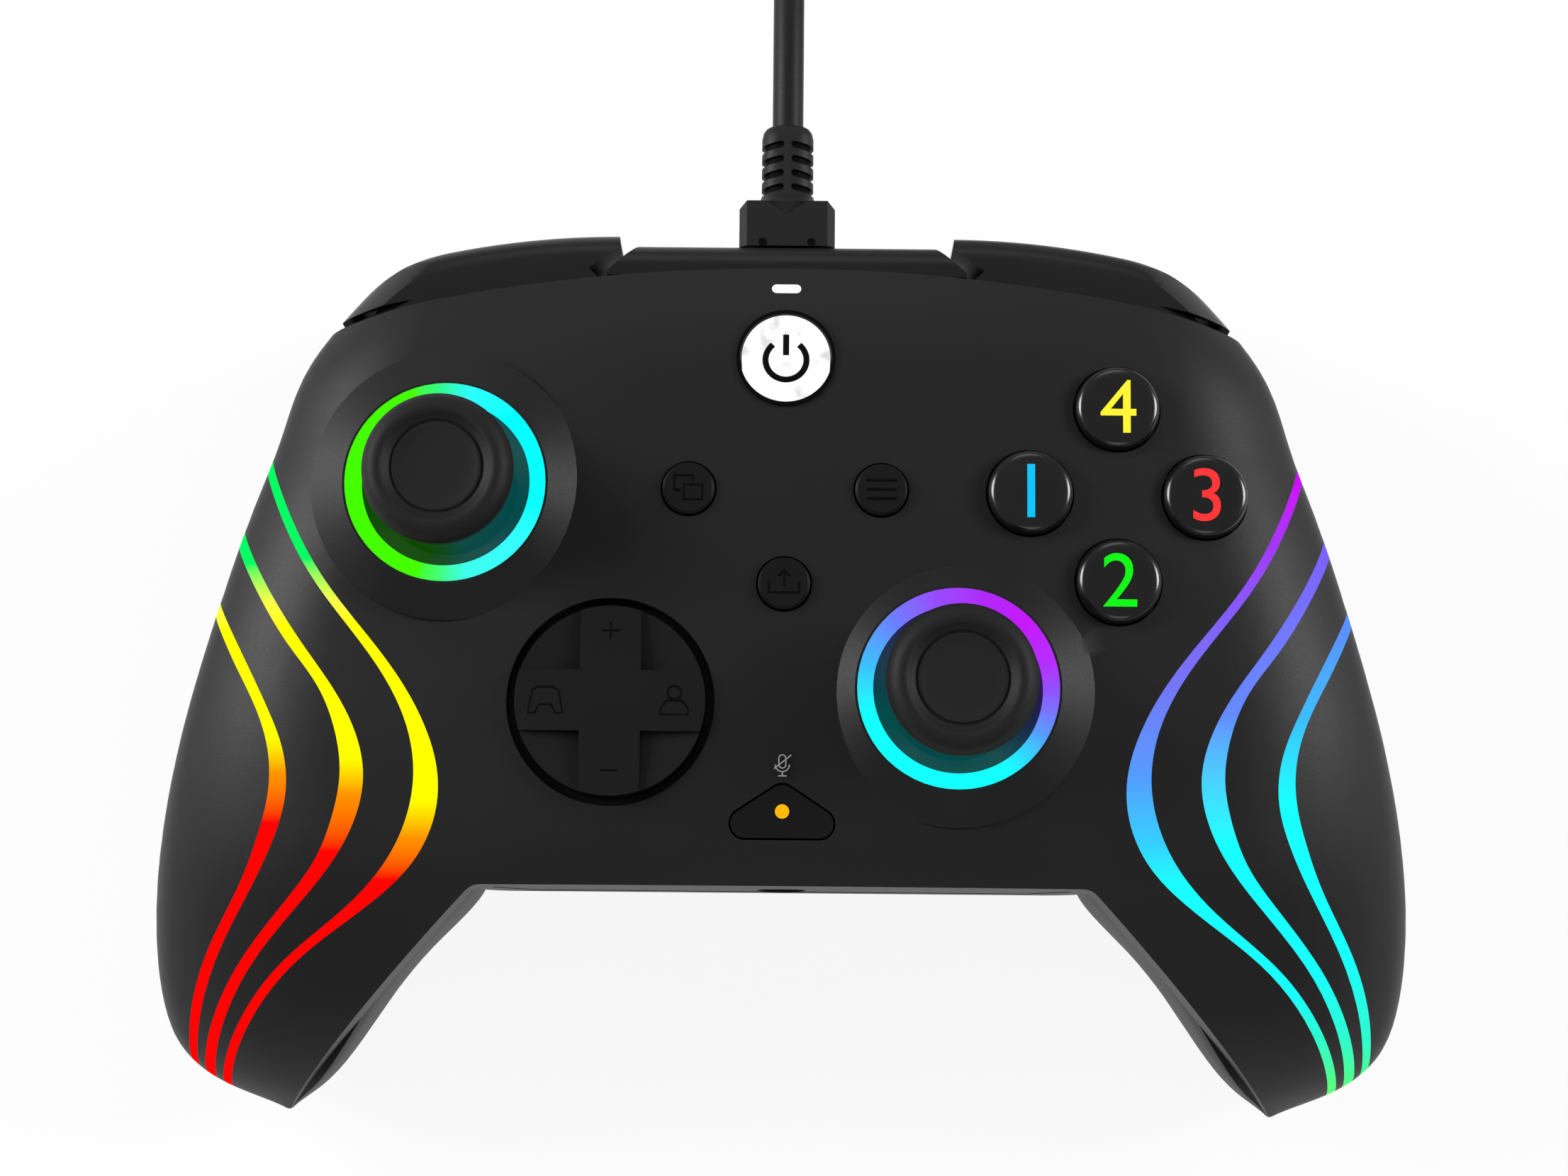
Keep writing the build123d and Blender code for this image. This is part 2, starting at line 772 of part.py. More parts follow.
def stick_module(place):
    """One thumb stick: a gimbal in its housing, and the cap on its shaft."""
    made = {}
    rise = cap_rise
    dish = rise - cap_dish
    foot = rise - cap_thick
    ball = dome_radius
    inner = ball - dome_wall
    shoulder_rise = sqrt(ball**2 - neck_radius**2)
    belt = ball * cos(radians(shoulder_angle))
    skirt = sqrt(ball**2 - dome_skirt_rise**2)
    inner_skirt = sqrt(inner**2 - dome_skirt_rise**2)
    bore = shaft_radius / cos(pi / (2 * hidden_sides)) + fit_gap / 2
    profile = (
        (bore, inner * cos(radians(crown_angle)) - housing_wall / 2),
        (inner * cos(radians(shoulder_angle)) - housing_wall / 2, inner * sin(radians(shoulder_angle))),
        (inner_skirt, dome_skirt_rise),
        (skirt, dome_skirt_rise),
        (belt, belt),
        (neck_radius, shoulder_rise),
        (neck_radius, foot - cap_rim_round),
        (cap_radius - 2 * cap_rim_round, foot),
        (cap_radius, foot + 2 * cap_rim_round),
        (cap_radius, rise - 3 * cap_rim_round),
        (cap_radius - cap_rim_round, rise - cap_rim_round),
        (cap_dish_radius + 2 * cap_rim_round, rise),
        (cap_dish_radius, dish),
        (0, dish),
        (0, shaft_rise),
        (bore, shaft_rise),
    )
    made["stick_cap"] = turned(profile)
    made["stick_shaft"] = prism((0, 0), shaft_radius, -shaft_foot, shaft_rise, 2 * hidden_sides)
    hole = pin_radius / cos(pi / hidden_sides) + pin_gap
    reach = housing_half
    x_pins = rod((-reach, 0, 0), (reach, 0, 0), pin_radius)
    y_pins = rod((0, -reach, 0), (0, reach, 0), pin_radius)
    x_holes = rod((-reach - overrun, 0, 0), (reach + overrun, 0, 0), hole)
    y_holes = rod((0, -reach - overrun, 0), (0, reach + overrun, 0), hole)
    hub = slab((-hub_half, hub_half), (-hub_half, hub_half), (-hub_half_height, hub_half_height))
    hub += rod((0, -yoke_half[1], 0), (0, yoke_half[1], 0), pin_radius)
    made["stick_hub"] = hub - prism((0, 0), shaft_radius + 2 * pin_gap, -overrun, overrun, 2 * hidden_sides)
    wide, deep = yoke_half
    tall = (-yoke_half_height, yoke_half_height)
    yoke = slab((-wide, wide), (-deep, deep), tall) + x_pins
    yoke -= slab((yoke_wall - wide, wide - yoke_wall), (yoke_wall - deep, deep - yoke_wall), tall)
    made["stick_yoke"] = yoke - y_holes
    arch = bar((-bail_half_width, 0, 0), (bail_half_width, 0, 0), bail_outer)
    arch -= bar((-bail_half_width, 0, 0), (bail_half_width, 0, 0), bail_inner)
    arch -= slab((-overrun, overrun), (-2 * overrun, 2 * overrun), (-2 * overrun, 0))
    slot = (slot_half_width, slot_half_length)
    arch -= slab((-slot[0], slot[0]), (-slot[1], slot[1]), (0, 2 * overrun))
    feet = slab((-ear_half, ear_half), (-bail_outer, bail_outer), (-pin_radius - hole / 2, ear_half))
    feet += y_pins
    feet -= slab((-overrun, overrun), (-bail_inner, bail_inner), (-2 * overrun, 2 * overrun))
    made["stick_bail"] = arch + feet
    low = board_top - pivot_height
    inside = housing_half - housing_wall
    box = slab((-reach, reach), (-reach, reach), (low, -housing_drop))
    box += slab((-reach, reach), (-ear_half, ear_half), (low, ear_rise))
    box += slab((-ear_half, ear_half), (-reach, reach), (low, ear_rise))
    box -= slab((-inside, inside), (-inside, inside), (low + housing_floor, overrun))
    top = -shaft_foot - click_travel - switch_gap
    box += slab((-switch_half, switch_half), (-switch_half, switch_half), (low, top))
    made["stick_housing"] = box - x_holes - y_holes
    return {name: Pos(place[0], place[1], pivot_height) * piece for name, piece in made.items()}


def dpad_parts(made):
    """The D-pad's disc, the cross pin that it rocks on and the post under it."""
    x, y = spot(dpad_share)
    face = face_at(x, y)
    rim = face + dpad_rim_proud
    centre = rim - dpad_dish
    top = face + dpad_proud
    low = dpad_floor
    step = low + dpad_flange_thick
    disc = turned(
        (
            (0, low),
            (dpad_flange_radius, low),
            (dpad_flange_radius, step),
            (dpad_radius, step),
            (dpad_radius, rim),
            (dpad_arm / 2, centre),
            (0, centre),
        )
    )
    arm = dpad_arm / 2
    cross = slab((-arm, arm), (-dpad_radius, dpad_radius), (step, top))
    cross += slab((-dpad_radius, dpad_radius), (-arm, arm), (step, top))
    disc += cross & peg((0, 0), dpad_radius, step, top)
    base = dpad_pivot_height
    pin_end = dpad_pin_reach
    inner = pin_end - dpad_lug_thick
    lug_low = base - dpad_lug_half
    for side in (-1, 1):
        near, far = sorted((side * inner, side * pin_end))
        disc += slab((-dpad_lug_half, dpad_lug_half), (near, far), (lug_low, low))
    hole = pin_radius / cos(pi / hidden_sides) + pin_gap
    disc -= rod((0, -overrun, base), (0, overrun, base), hole)
    made["dpad_disc"] = Pos(x, y) * disc
    half = dpad_block_half
    tall = dpad_block_half_height
    block = slab((-half, half), (-half, half), (base - tall, base + tall))
    block += rod((-pin_end, 0, base), (pin_end, 0, base), pin_radius)
    block += rod((0, -pin_end, base), (0, pin_end, base), pin_radius)
    made["dpad_pivot"] = Pos(x, y) * block
    post = slab((-pin_end, pin_end), (-dpad_lug_half, dpad_lug_half), (board_top, base + dpad_lug_half))
    room = (base - tall - dpad_lug_half, low)
    post -= slab((-inner, inner), (-overrun, overrun), room)
    post -= rod((-overrun, 0, base), (overrun, 0, base), hole)
    made["dpad_post"] = Pos(x, y) * post


def push_cap(radius, low, top, edge):
    """The round top of a push button, its rim bevelled."""
    return turned(((0, low), (radius, low), (radius, top - edge), (radius - edge, top), (0, top)))


def button_parts(made):
    """All the push buttons, the pad under the face buttons and the two lights."""
    pad_top = board_top + pad_dome_rise
    web = slab((-pad_web_half, pad_web_half), (-button_spread, button_spread), (board_top, board_top + pad_thick))
    web += slab((-button_spread, button_spread), (-pad_web_half, pad_web_half), (board_top, board_top + pad_thick))
    pad = Pos(*spot(face_buttons_share)) * web
    for name, place in face_places().items():
        top = face_at(*place) + button_proud
        flange_top = boss_floor - seat_gap
        flange_low = flange_top - button_flange_thick
        foot = pad_top + button_travel + seat_gap
        button = push_cap(button_radius, flange_top, top, button_chamfer)
        button += prism((0, 0), button_flange, flange_low, flange_top, 2 * hidden_sides)
        button += prism((0, 0), button_stem, foot, flange_low)
        made[name + "_face_button"] = Pos(*place) * button
        pad += prism(place, pad_dome_radius, board_top, pad_top)
    made["face_button_pad"] = pad
    for name, place in small_places().items():
        top = face_at(*place) + small_proud
        flange_top = small_floor - seat_gap
        flange_low = flange_top - small_flange_thick
        button = push_cap(small_radius, flange_top, top, small_chamfer)
        button += prism((0, 0), small_flange, flange_low, flange_top)
        made[name + "_button"] = Pos(*place) * button
    frame = guide_frame()
    bezel_inner = guide_hole_radius - guide_bezel_wall
    lens = bezel_inner - guide_lens_gap
    bezel = Cylinder(guide_hole_radius, guide_depth + guide_bezel_proud, align=upright)
    bezel -= Cylinder(bezel_inner, guide_depth + guide_bezel_proud, align=upright)
    made["home_bezel"] = frame * Pos(0, 0, -guide_depth) * bezel
    cap = Cylinder(lens, guide_depth + guide_lens_proud, align=upright)
    made["home_button"] = frame * Pos(0, 0, -guide_depth) * cap


def audio_parts(skin, made):
    """The audio button and its light."""
    x, y = spot(audio_share)
    low = audio_floor - seat_gap
    button = extrude(Pos(0, 0, low) * audio_plan(0), 2 * overrun) & skin
    flange = low - audio_flange_thick
    button += extrude(Pos(0, 0, flange) * audio_plan(audio_flange), audio_flange_thick)
    light = peg((x, y), audio_light_radius, flange, face_height + overrun)
    made["audio_light"] = light & skin
    made["audio_button"] = button - light


def bumper_plan():
    """The right bumper seen from above, carried on past the lip."""
    line = [spot(share) for share in bumper_line_shares]
    far, near = line[-1], line[0]
    low = lip_end_reach - 2 * overrun
    front = ThreePointArc(near, line[1], line[2])
    bend = TangentArc(line[2], line[3], tangent=front % 1)
    end = TangentArc(line[3], far, tangent=bend % 1)
    return make_face([front, bend, end, Polyline(far, (far[0], low), (near[0], low), near)])


def bumper_end(shift):
    """The space past the bumper's inner end, moved outwards by shift."""
    end = [spot(share) for share in bumper_end_shares]
    low = end[-1][1]
    rest = [(0, low), (0, end[0][1])]
    plan = Pos(shift, 0) * make_face(Polyline(*end, *rest, close=True))
    return extrude(plan, face_height)


def bumper_solid(skin):
    """The right bumper: a top under the lip, an outer wall and the eye at its pivot."""
    plan = bumper_plan()
    block = extrude(Pos(0, 0, bumper_floor) * plan, band_top - bumper_floor)
    rim = block.edges().filter_by(GeomType.CIRCLE).group_by(Axis.Z)[-1]
    block = fillet(rim, band_round)
    tall = band_top - bumper_wall - bumper_floor
    room = extrude(Pos(0, 0, bumper_floor) * offset(plan, -bumper_wall), tall)
    block -= room - bumper_end(bumper_wall)
    block -= bumper_end(0)
    x, y = bumper_pivot
    far = half_width + overrun
    block -= slab((-far, far), (-far, lip_end_reach - tuck), (0, 2 * face_height))
    block &= beyond_lip(tuck)
    block &= skin
    eye_low = bridge_floor + bridge_foot + seat_gap
    block -= slab((0, bridge_slant_half + seat_gap), (0, bridge_near + seat_gap), (0, eye_low))
    block += prism((x, y), bumper_eye_radius, eye_low, band_top, 2 * hidden_sides)
    pin_top = band_top - bumper_wall + seat_gap
    hole = bumper_pin_radius / cos(pi / hidden_sides) + pin_gap
    return block - prism((x, y), hole, eye_low, pin_top)


def bridge_solid(skin):
    """The bridge round the cable's socket, with the bumpers' pivot pins."""
    points = (
        (-bridge_half, bridge_reach),
        (bridge_half, bridge_reach),
        (bridge_slant_half, bridge_slant_reach),
        (bridge_slant_half, bridge_near),
        (-bridge_slant_half, bridge_near),
        (-bridge_slant_half, bridge_slant_reach),
    )
    tall = band_top - bridge_floor
    block = extrude(Pos(0, 0, bridge_floor) * make_face(Polyline(*points, close=True)), tall)
    rim = block.edges().filter_by(Axis.X).sort_by(Axis.Y)[-2:].sort_by(Axis.Z)[-1]
    block = fillet(rim, band_round)
    block += slab((-trunk_half, trunk_half), (trunk_near, bridge_near), (bridge_floor, band_top))
    foot = (bridge_floor, bridge_floor + bridge_foot)
    block += slab((-bridge_slant_half, bridge_slant_half), (trunk_near, bridge_near), foot)
    x, y = bumper_pivot
    pins = prism((x, y), bumper_pin_radius, bridge_floor, band_top - bumper_wall)
    return (block & skin) + both(pins)


def trigger_solid():
    """The right trigger, a curved lever on a pin."""
    y, z = trigger_pivot

    def placed(shares):
        return [(a * y, b * z) for a, b in shares]

    face = placed(trigger_face_shares)
    back = placed(trigger_back_shares)
    brow = placed(trigger_brow_shares)
    outline = [
        Spline(*face),
        Spline(*back),
        Polyline(back[-1], brow[0]),
        Line(brow[0], brow[1]),
        Line(brow[1], brow[2]),
        Line(brow[2], face[0]),
    ]
    plane = side_plane(trigger_inner)
    block = extrude(plane * make_face(outline), trigger_outer - trigger_inner)
    low = trigger_plan[0]
    far = trigger_plan[2]
    plan = make_face([ThreePointArc(*trigger_plan), Polyline(far, (far[0], 0), (low[0], 0), low)])
    block &= extrude(plan, face_height)
    return block - bar((0, y, z), (half_width, y, z), trigger_pin_radius + pin_gap)


def trigger_pin():
    """The pin through the right trigger and its brackets."""
    y, z = trigger_pivot
    low = trigger_inner - bay_side - bracket_thick
    high = trigger_outer + bay_side + bracket_thick
    return bar((low, y, z), (high, y, z), trigger_pin_radius)


def board_solid():
    """The main circuit board with its tongue under the cable's socket."""
    points = [spot(share) for share in board_outline_shares]
    near = points[0][1]
    tongue = [(board_tongue_half, board_tongue_reach), (board_tongue_half, near)]
    right = tongue + points
    left = [(-x, y) for x, y in reversed(right)]
    plan = make_face(Polyline(*right, *left, close=True))
    board = extrude(Pos(0, 0, board_top - board_thick) * plan, board_thick)
    for place in screw_places():
        board -= prism(place, screw_shank_radius + fit_gap, 0, board_top)
    return board


def tongue_room():
    """The way through the case for the board's tongue and the socket."""
    half = board_tongue_half + tongue_gap
    low = board_top - board_thick - tongue_gap
    high = usb_height + usb_half_height + tongue_gap
    return slab((-half, half), (bay_near, board_tongue_reach + tongue_gap), (low, high))


def socket_slot(grow, near, far):
    """A flat round-ended slot round the cable's axis."""
    half = usb_half_width + grow
    tall = usb_half_height + grow
    plan = Plane(origin=(0, near, usb_height), x_dir=(-1, 0, 0), z_dir=(0, 1, 0))
    return extrude(plan * RectangleRounded(2 * half, 2 * tall, tall * edge_round_share), far - near)


def inside_parts(made):
    """The board, the sockets, the screws and the rumble motors."""
    made["main_board"] = board_solid()
    made["usb_socket"] = socket_slot(0, usb_near, usb_far) - socket_slot(-usb_wall, usb_near + 2 * usb_wall, usb_far)
    edge = -gap_edge + wall
    tall = (jack_height - jack_half_height, jack_height + jack_half_height)
    start = edge + fit_gap
    jack = slab((-jack_half_width, jack_half_width), (start, start + jack_length), (board_top, tall[1]))
    nose = (0, -gap_edge + jack_nose_inset, jack_height)
    jack += bar(nose, (0, start, jack_height), jack_nose_radius)
    jack -= bar((0, -gap_edge, jack_height), (0, start + jack_length - wall, jack_height), jack_bore_radius)
    made["audio_jack"] = jack
    low = screw_head_height - screw_head_thick
    screws = []
    for place in screw_places():
        screw = prism(place, screw_head_radius, low, screw_head_height)
        screws.append(screw + prism(place, screw_shank_radius, screw_head_height, screw_head_height + screw_length))
    made["case_screws"] = Compound(screws)
    x, y = motor_place
    z = motor_height
    motor = rod((x, y - motor_length, z), (x, y, z), motor_radius, 2 * hidden_sides)
    motor += rod((x, y, z), (x, y + motor_shaft_length, z), motor_shaft_radius)
    pair("rumble_motor", motor, made)
    near = y + weight_gap
    weight = rod((x, near, z), (x, near + weight_length, z), weight_radius, 2 * hidden_sides)
    weight -= slab((0, 2 * x), (near, near + weight_length), (z + 2 * motor_shaft_radius, 2 * face_height))
    weight -= rod((x, near, z), (x, near + weight_length, z), motor_shaft_radius / cos(pi / hidden_sides) + pin_gap)
    pair("rumble_weight", weight, made)


def hollow_section(place, points):
    """A straight-sided section of the space inside."""
    return cross_plane(place) * make_face(Polyline(*points, close=True))


def belly_hollow():
    """The space inside the middle, with slanted lower corners."""
    sections = []
    high = seam_flat_height + overrun
    for place, width_share, low_share in belly_shares:
        half = width_share * half_width
        low = low_share * face_height
        cut = belly_round_share * (seam_flat_height + overrun / 2 - low)
        half -= wall
        low += wall
        right = [(half, high), (half, low + cut), (half - cut, low)]
        left = [(-x, z) for x, z in reversed(right)]
        sections.append(hollow_section(place * near_reach, right + left))
    return loft(sections, ruled=True)


def handle_hollow():
    """The space inside the right handle, eight sided."""
    sections = []
    for place, inner_share, low_share in handle_shares[:handle_hollow_rows]:
        y = place * near_reach
        half = station(y, 1) * half_width
        seam = station(y, 2) * seam_height
        inner = inner_share * half_width
        reach = (half - inner) / 2 - wall
        drop = seam - low_share * face_height - wall
        rise = handle_rise_share * seam_slope_share * (half - inner)
        points = []
        for side in range(handle_sides // 2):
            turn = 4 * pi * (side + 0.5) / handle_sides
            height = rise if sin(turn) > 0 else drop
            power = handle_lower_power
            swell = (abs(cos(turn)) ** power + abs(sin(turn)) ** power) ** (-1 / power)
            points.append(((half + inner) / 2 + reach * swell * cos(turn), seam + height * swell * sin(turn)))
        sections.append(hollow_section(y, points))
    return loft(sections, ruled=True)


def rear_shell(seam):
    """The rear of the case, with the trigger bays, screw posts and motor cradles."""
    far = half_width + overrun
    handle = handle_block(0)
    outer = belly_block(0) + both(handle)
    outer -= slab((-far, far), (-far, far), (-overrun, 0))
    room = belly_hollow() + both(handle_hollow())
    room -= slab((-far, far), (bay_near - bay_wall, far), (-overrun, 2 * face_height))
    shell = outer - room
    fitted = [prism(place, screw_post_radius, 0, board_top - board_thick) for place in screw_places()]
    x, y = motor_place
    z = motor_height
    for start in (y - motor_length + cradle_inset, y - cradle_inset - cradle_thick):
        cradle = slab((x - cradle_half, x + cradle_half), (start, start + cradle_thick), (0, z))
        cradle -= rod((x, start, z), (x, start + cradle_thick, z), motor_radius, 2 * hidden_sides)
        fitted += [cradle, mirror(cradle, about=Plane.YZ)]
    shell += Compound(fitted) & outer
    shell -= seam
    inner = trigger_inner - bay_side
    end = trigger_outer + bay_side
    shell -= both(slab((inner, end), (bay_near, far), (-overrun, 2 * face_height)))
    shell -= beyond_lip(lip_under) - slab((-far, far), (0, far), (0, bumper_floor - seat_gap))
    half = bridge_slant_half + wall - moving_gap
    shell -= slab((-half, half), (trunk_near - seat_gap, far), (bridge_floor, 2 * face_height))
    middle = inner - bracket_thick - wall
    shell -= slab((-middle, middle), (bay_near - bay_wall, trunk_near - wall), (bridge_floor, 2 * face_height))
    shell -= tongue_room()
    tall = (bracket_low, bracket_top)
    deep = (bay_near - bay_wall, bracket_reach)
    plates = slab((inner - bracket_thick, inner), deep, tall) + slab((end, end + bracket_thick), deep, tall)
    shell += both(plates)
    shell -= both(trigger_pin())
    top_button = face_places()["top"]
    travel_end = boss_floor - button_flange_thick - button_travel - 2 * seat_gap
    shell -= prism(top_button, button_flange + moving_gap, travel_end, face_height, 2 * hidden_sides)
    for place in screw_places():
        shell -= prism(place, screw_head_radius + fit_gap, -overrun, screw_head_height)
        shell -= prism(place, screw_shank_radius + fit_gap, 0, board_top)
    return shell - bar((0, -gap_edge - overrun, jack_height), (0, -gap_edge + 2 * wall, jack_height), jack_hole_radius)


def connector_parts(made):
    """The cable's connector, its strain relief and the far plug."""
    start = Plane(origin=(0, connector_near, usb_height), x_dir=(-1, 0, 0), z_dir=(0, 1, 0))
    body = extrude(start * Rectangle(2 * connector_half_width, 2 * connector_half_height), connector_far - connector_near)
    corners = body.edges().filter_by(Axis.Z).sort_by(Axis.Y)[-2:]
    corners += body.edges().filter_by(Axis.Y)
    body = chamfer(corners, connector_chamfer)
    tongue = socket_slot(-usb_wall - usb_tongue_gap, usb_near + 4 * usb_wall, connector_near)
    made["cable_connector"] = body + tongue
    start = Plane(origin=(0, connector_far, usb_height), x_dir=(-1, 0, 0), z_dir=(0, 1, 0))
    wide, tall = relief_half_width, relief_half_height
    plan = Rectangle(2 * wide, 2 * tall)
    plan = chamfer(plan.vertices(), tall / 2)
    relief = extrude(start * plan, relief_far - connector_far)
    for slot in range(relief_slots):
        near = connector_far + relief_first + slot * relief_pitch
        low, high = usb_height - 2 * tall, usb_height + 2 * tall
        relief -= both(slab((wide - relief_slot_depth / 2, 2 * wide), (near, near + relief_slot), (low, high)))
    made["strain_relief"] = relief


def cord_tube(route, name):
    """A tube along straight runs joined by tangent arcs."""
    points = [Vector(*point) for point in route]
    radii = []
    for before, here, after in zip(points, points[1:], points[2:]):
        turn = radians((here - before).get_angle(after - here))
        shorter = min((here - before).length, (after - here).length)
        radii.append(cord_run_share * shorter / tan(turn / 2))
    print(name, "bend radii", [round(radius, 1) for radius in radii])
    path = FilletPolyline(*points, radius=radii)
    start = Plane(origin=points[0], x_dir=(1, 0, 0), z_dir=points[1] - points[0])
    section = start * RegularPolygon(cord_radius, cord_sides)
    tube = sweep(section, path=path)
    print(name, "length", round(path.length, 1), "volume over area", round(tube.volume / section.area, 1))
    return tube


def coil_tube():
    """The spare cord: a flat spiral inwards, a climb, and the spiral out again below."""
    x, y = coil_start
    high = coil_floor + coil_layer_rise
    lead = 2 * cord_radius
    edges = [Line((x, y - lead, high), (x, y, high))]
    step = coil_pitch / 2
    radii = [coil_outer - step * turn for turn in range(coil_half_turns)]
    climb = radii[-1] - step
    plan = [(radius, high) for radius in radii] + [(climb, None)]
    plan += [(radius, coil_floor) for radius in reversed(radii[1:])]
    side = 1
    here = Vector(x, y, high)
    for radius, level in plan:
        drop = 0 if level is not None else -coil_layer_rise
        reach = sqrt(radius**2 + (drop / 2) ** 2)
        middle = here + Vector(side * radius, side * reach, drop / 2)
        end = here + Vector(2 * side * radius, 0, drop)
        edges.append(ThreePointArc(here, middle, end))
        here = end
        side = -side
    edges.append(Line(here, here + Vector(0, lead, 0)))
    path = Wire(edges)
    start = Plane(origin=(x, y - lead, high), x_dir=(1, 0, 0), z_dir=(0, 1, 0))
    section = start * RegularPolygon(cord_radius, coil_sides)
    tube = sweep(section, path=path)
    print("coil length", round(path.length, 1), "volume over area", round(tube.volume / section.area, 1))
    print("coil least gap", round(coil_gap(edges), 2), "ends at", here)
    return tube


def coil_gap(edges):
    """The least gap between turns of the coil, measured on points along it."""
    points = []
    places = []
    along = 0
    for edge in edges:
        count = max(int(edge.length / cord_radius), 2)
        for step in range(count):
            points.append(edge.position_at(step / count))
            places.append(along + edge.length * step / count)
        along += edge.length
    least = 2 * coil_outer
    for index, point in enumerate(points):
        for other in range(index + 1, len(points)):
            if places[other] - places[index] > 4 * coil_pitch:
                apart = (points[other] - point).length
                least = min(least, apart)
    return least - 2 * cord_radius


def plug_solid():
    """The far plug, lying on the table."""
    start = tail_route[-1]
    plane = Plane(origin=start, x_dir=(-1, 0, 0), z_dir=(0, 1, 0))
    body = extrude(plane * Rectangle(2 * plug_half_width, 2 * plug_half_height), plug_length)
    body = chamfer(body.edges().filter_by(Axis.Z).sort_by(Axis.Y)[:2], plug_chamfer)
    shell = plane.offset(plug_length)
    tip = extrude(shell * Rectangle(2 * plug_shell_half_width, 2 * plug_shell_half_height), plug_shell_length)
    inner = Rectangle(2 * (plug_shell_half_width - plug_shell_wall), 2 * (plug_shell_half_height - plug_shell_wall))
    tip -= extrude(shell.offset(plug_shell_wall) * inner, plug_shell_length)
    block = Rectangle(2 * (plug_shell_half_width - 2 * plug_shell_wall), plug_shell_half_height - plug_shell_wall)
    tip += extrude(shell * Pos(0, plug_shell_wall) * block, plug_shell_length - plug_shell_half_height)
    return body, tip


def build():
    """Every piece of the controller, by name."""
    made = {}
    skin = skin_block(0)
    seam = seam_block()
    plan = gap_sketch()
    high = face_height + overrun
    outer = (skin - extrude(plan, high) - beyond_lip()) & seam
    core = skin_block(line_depth)
    lines = (("inner", inner_line_shares), ("middle", middle_line_shares), ("outer", outer_line_shares))
    inlays = [(line_prism(rows) & outer) - core for _, rows in lines]
    for (name, _), inlay in zip(lines, inlays):
        pair(name + "_light_line", inlay, made)
    outer -= [both(inlay) for inlay in inlays]
    room = skin_block(wall, hollow_near_share) - extrude(offset(plan, wall), high)
    room += skin_block(lip_wall, hollow_near_share) & beyond_lip(lip_under)
    front = outer - room
    front += front_bosses(skin_block((line_depth + wall) / 2, hollow_near_share))
    for share in (left_stick_share, right_stick_share):
        front += Pos(*spot(share)) * collar_body()
    status = Pos(*spot(status_share)) * SlotOverall(status_length, status_width)
    made["status_light"] = extrude(status, high) & front
    front -= front_holes()
    made["front_shell"] = front
    made["rear_shell"] = rear_shell(seam)
    under = skin_block(lip_wall + seat_gap)
    made["top_bridge"] = bridge_solid(under) - tongue_room() - socket_slot(fit_gap, usb_near, connector_near)
    pair("bumper", bumper_solid(under + (skin & beyond_lip(-bumper_swing))), made)
    pair("trigger", trigger_solid(), made)
    made["trigger_pins"] = both(trigger_pin())
    ring = turned(
        (
            (ring_inner, ring_height - ring_depth),
            (ring_outer, ring_height - ring_depth),
            (ring_outer, ring_height),
            (ring_inner, ring_height),
        )
    )
    for side, share in (("left", left_stick_share), ("right", right_stick_share)):
        made[side + "_light_ring"] = Pos(*spot(share)) * ring
        for name, piece in stick_module(spot(share)).items():
            made[side + "_" + name] = piece
    dpad_parts(made)
    button_parts(made)
    audio_parts(skin, made)
    inside_parts(made)
    connector_parts(made)
    made["cable_run"] = cord_tube(run_route, "run")
    made["cable_coil"] = coil_tube()
    made["cable_tail"] = cord_tube(tail_route, "tail")
    made["plug_body"], made["plug_shell"] = plug_solid()
    return made


os.makedirs("parts", exist_ok=True)
for node, shape in build().items():
    solids = shape.solids()
    export_step(solids[0] if len(solids) == 1 else Compound(solids), "parts/" + node + ".step")
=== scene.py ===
import math

import bmesh
import bpy
from mathutils import Matrix, Vector


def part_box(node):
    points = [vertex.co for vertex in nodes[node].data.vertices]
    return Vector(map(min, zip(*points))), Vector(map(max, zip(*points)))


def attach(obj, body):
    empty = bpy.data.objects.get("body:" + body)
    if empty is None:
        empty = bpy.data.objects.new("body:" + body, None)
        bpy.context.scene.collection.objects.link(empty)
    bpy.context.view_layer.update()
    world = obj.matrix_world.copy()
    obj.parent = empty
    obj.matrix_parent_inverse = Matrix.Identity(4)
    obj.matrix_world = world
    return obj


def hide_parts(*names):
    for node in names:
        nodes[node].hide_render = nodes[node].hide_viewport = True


# Wired gamepad with light lines and rings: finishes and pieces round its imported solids

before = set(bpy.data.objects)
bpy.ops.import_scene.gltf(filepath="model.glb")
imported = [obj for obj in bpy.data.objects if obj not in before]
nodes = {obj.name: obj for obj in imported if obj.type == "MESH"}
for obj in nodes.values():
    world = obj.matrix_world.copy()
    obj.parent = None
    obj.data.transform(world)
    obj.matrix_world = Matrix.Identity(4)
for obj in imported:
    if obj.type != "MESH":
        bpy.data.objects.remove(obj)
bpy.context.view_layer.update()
mm = 0.001
SIDES = (("left", -1), ("right", 1))
touching = 0.000001
sharp_angle = 28
stroke_height = 0.35


def shade(red, green, blue):
    """A colour as it shows on a screen, from 0 to 255, as the shader wants it."""
    def straight(value):
        value = value / 255
        return value / 12.92 if value <= 0.04045 else ((value + 0.055) / 1.055) ** 2.4
    return (straight(red), straight(green), straight(blue), 1.0)


def grey(value):
    return shade(value, value, value)


# Shader arithmetic


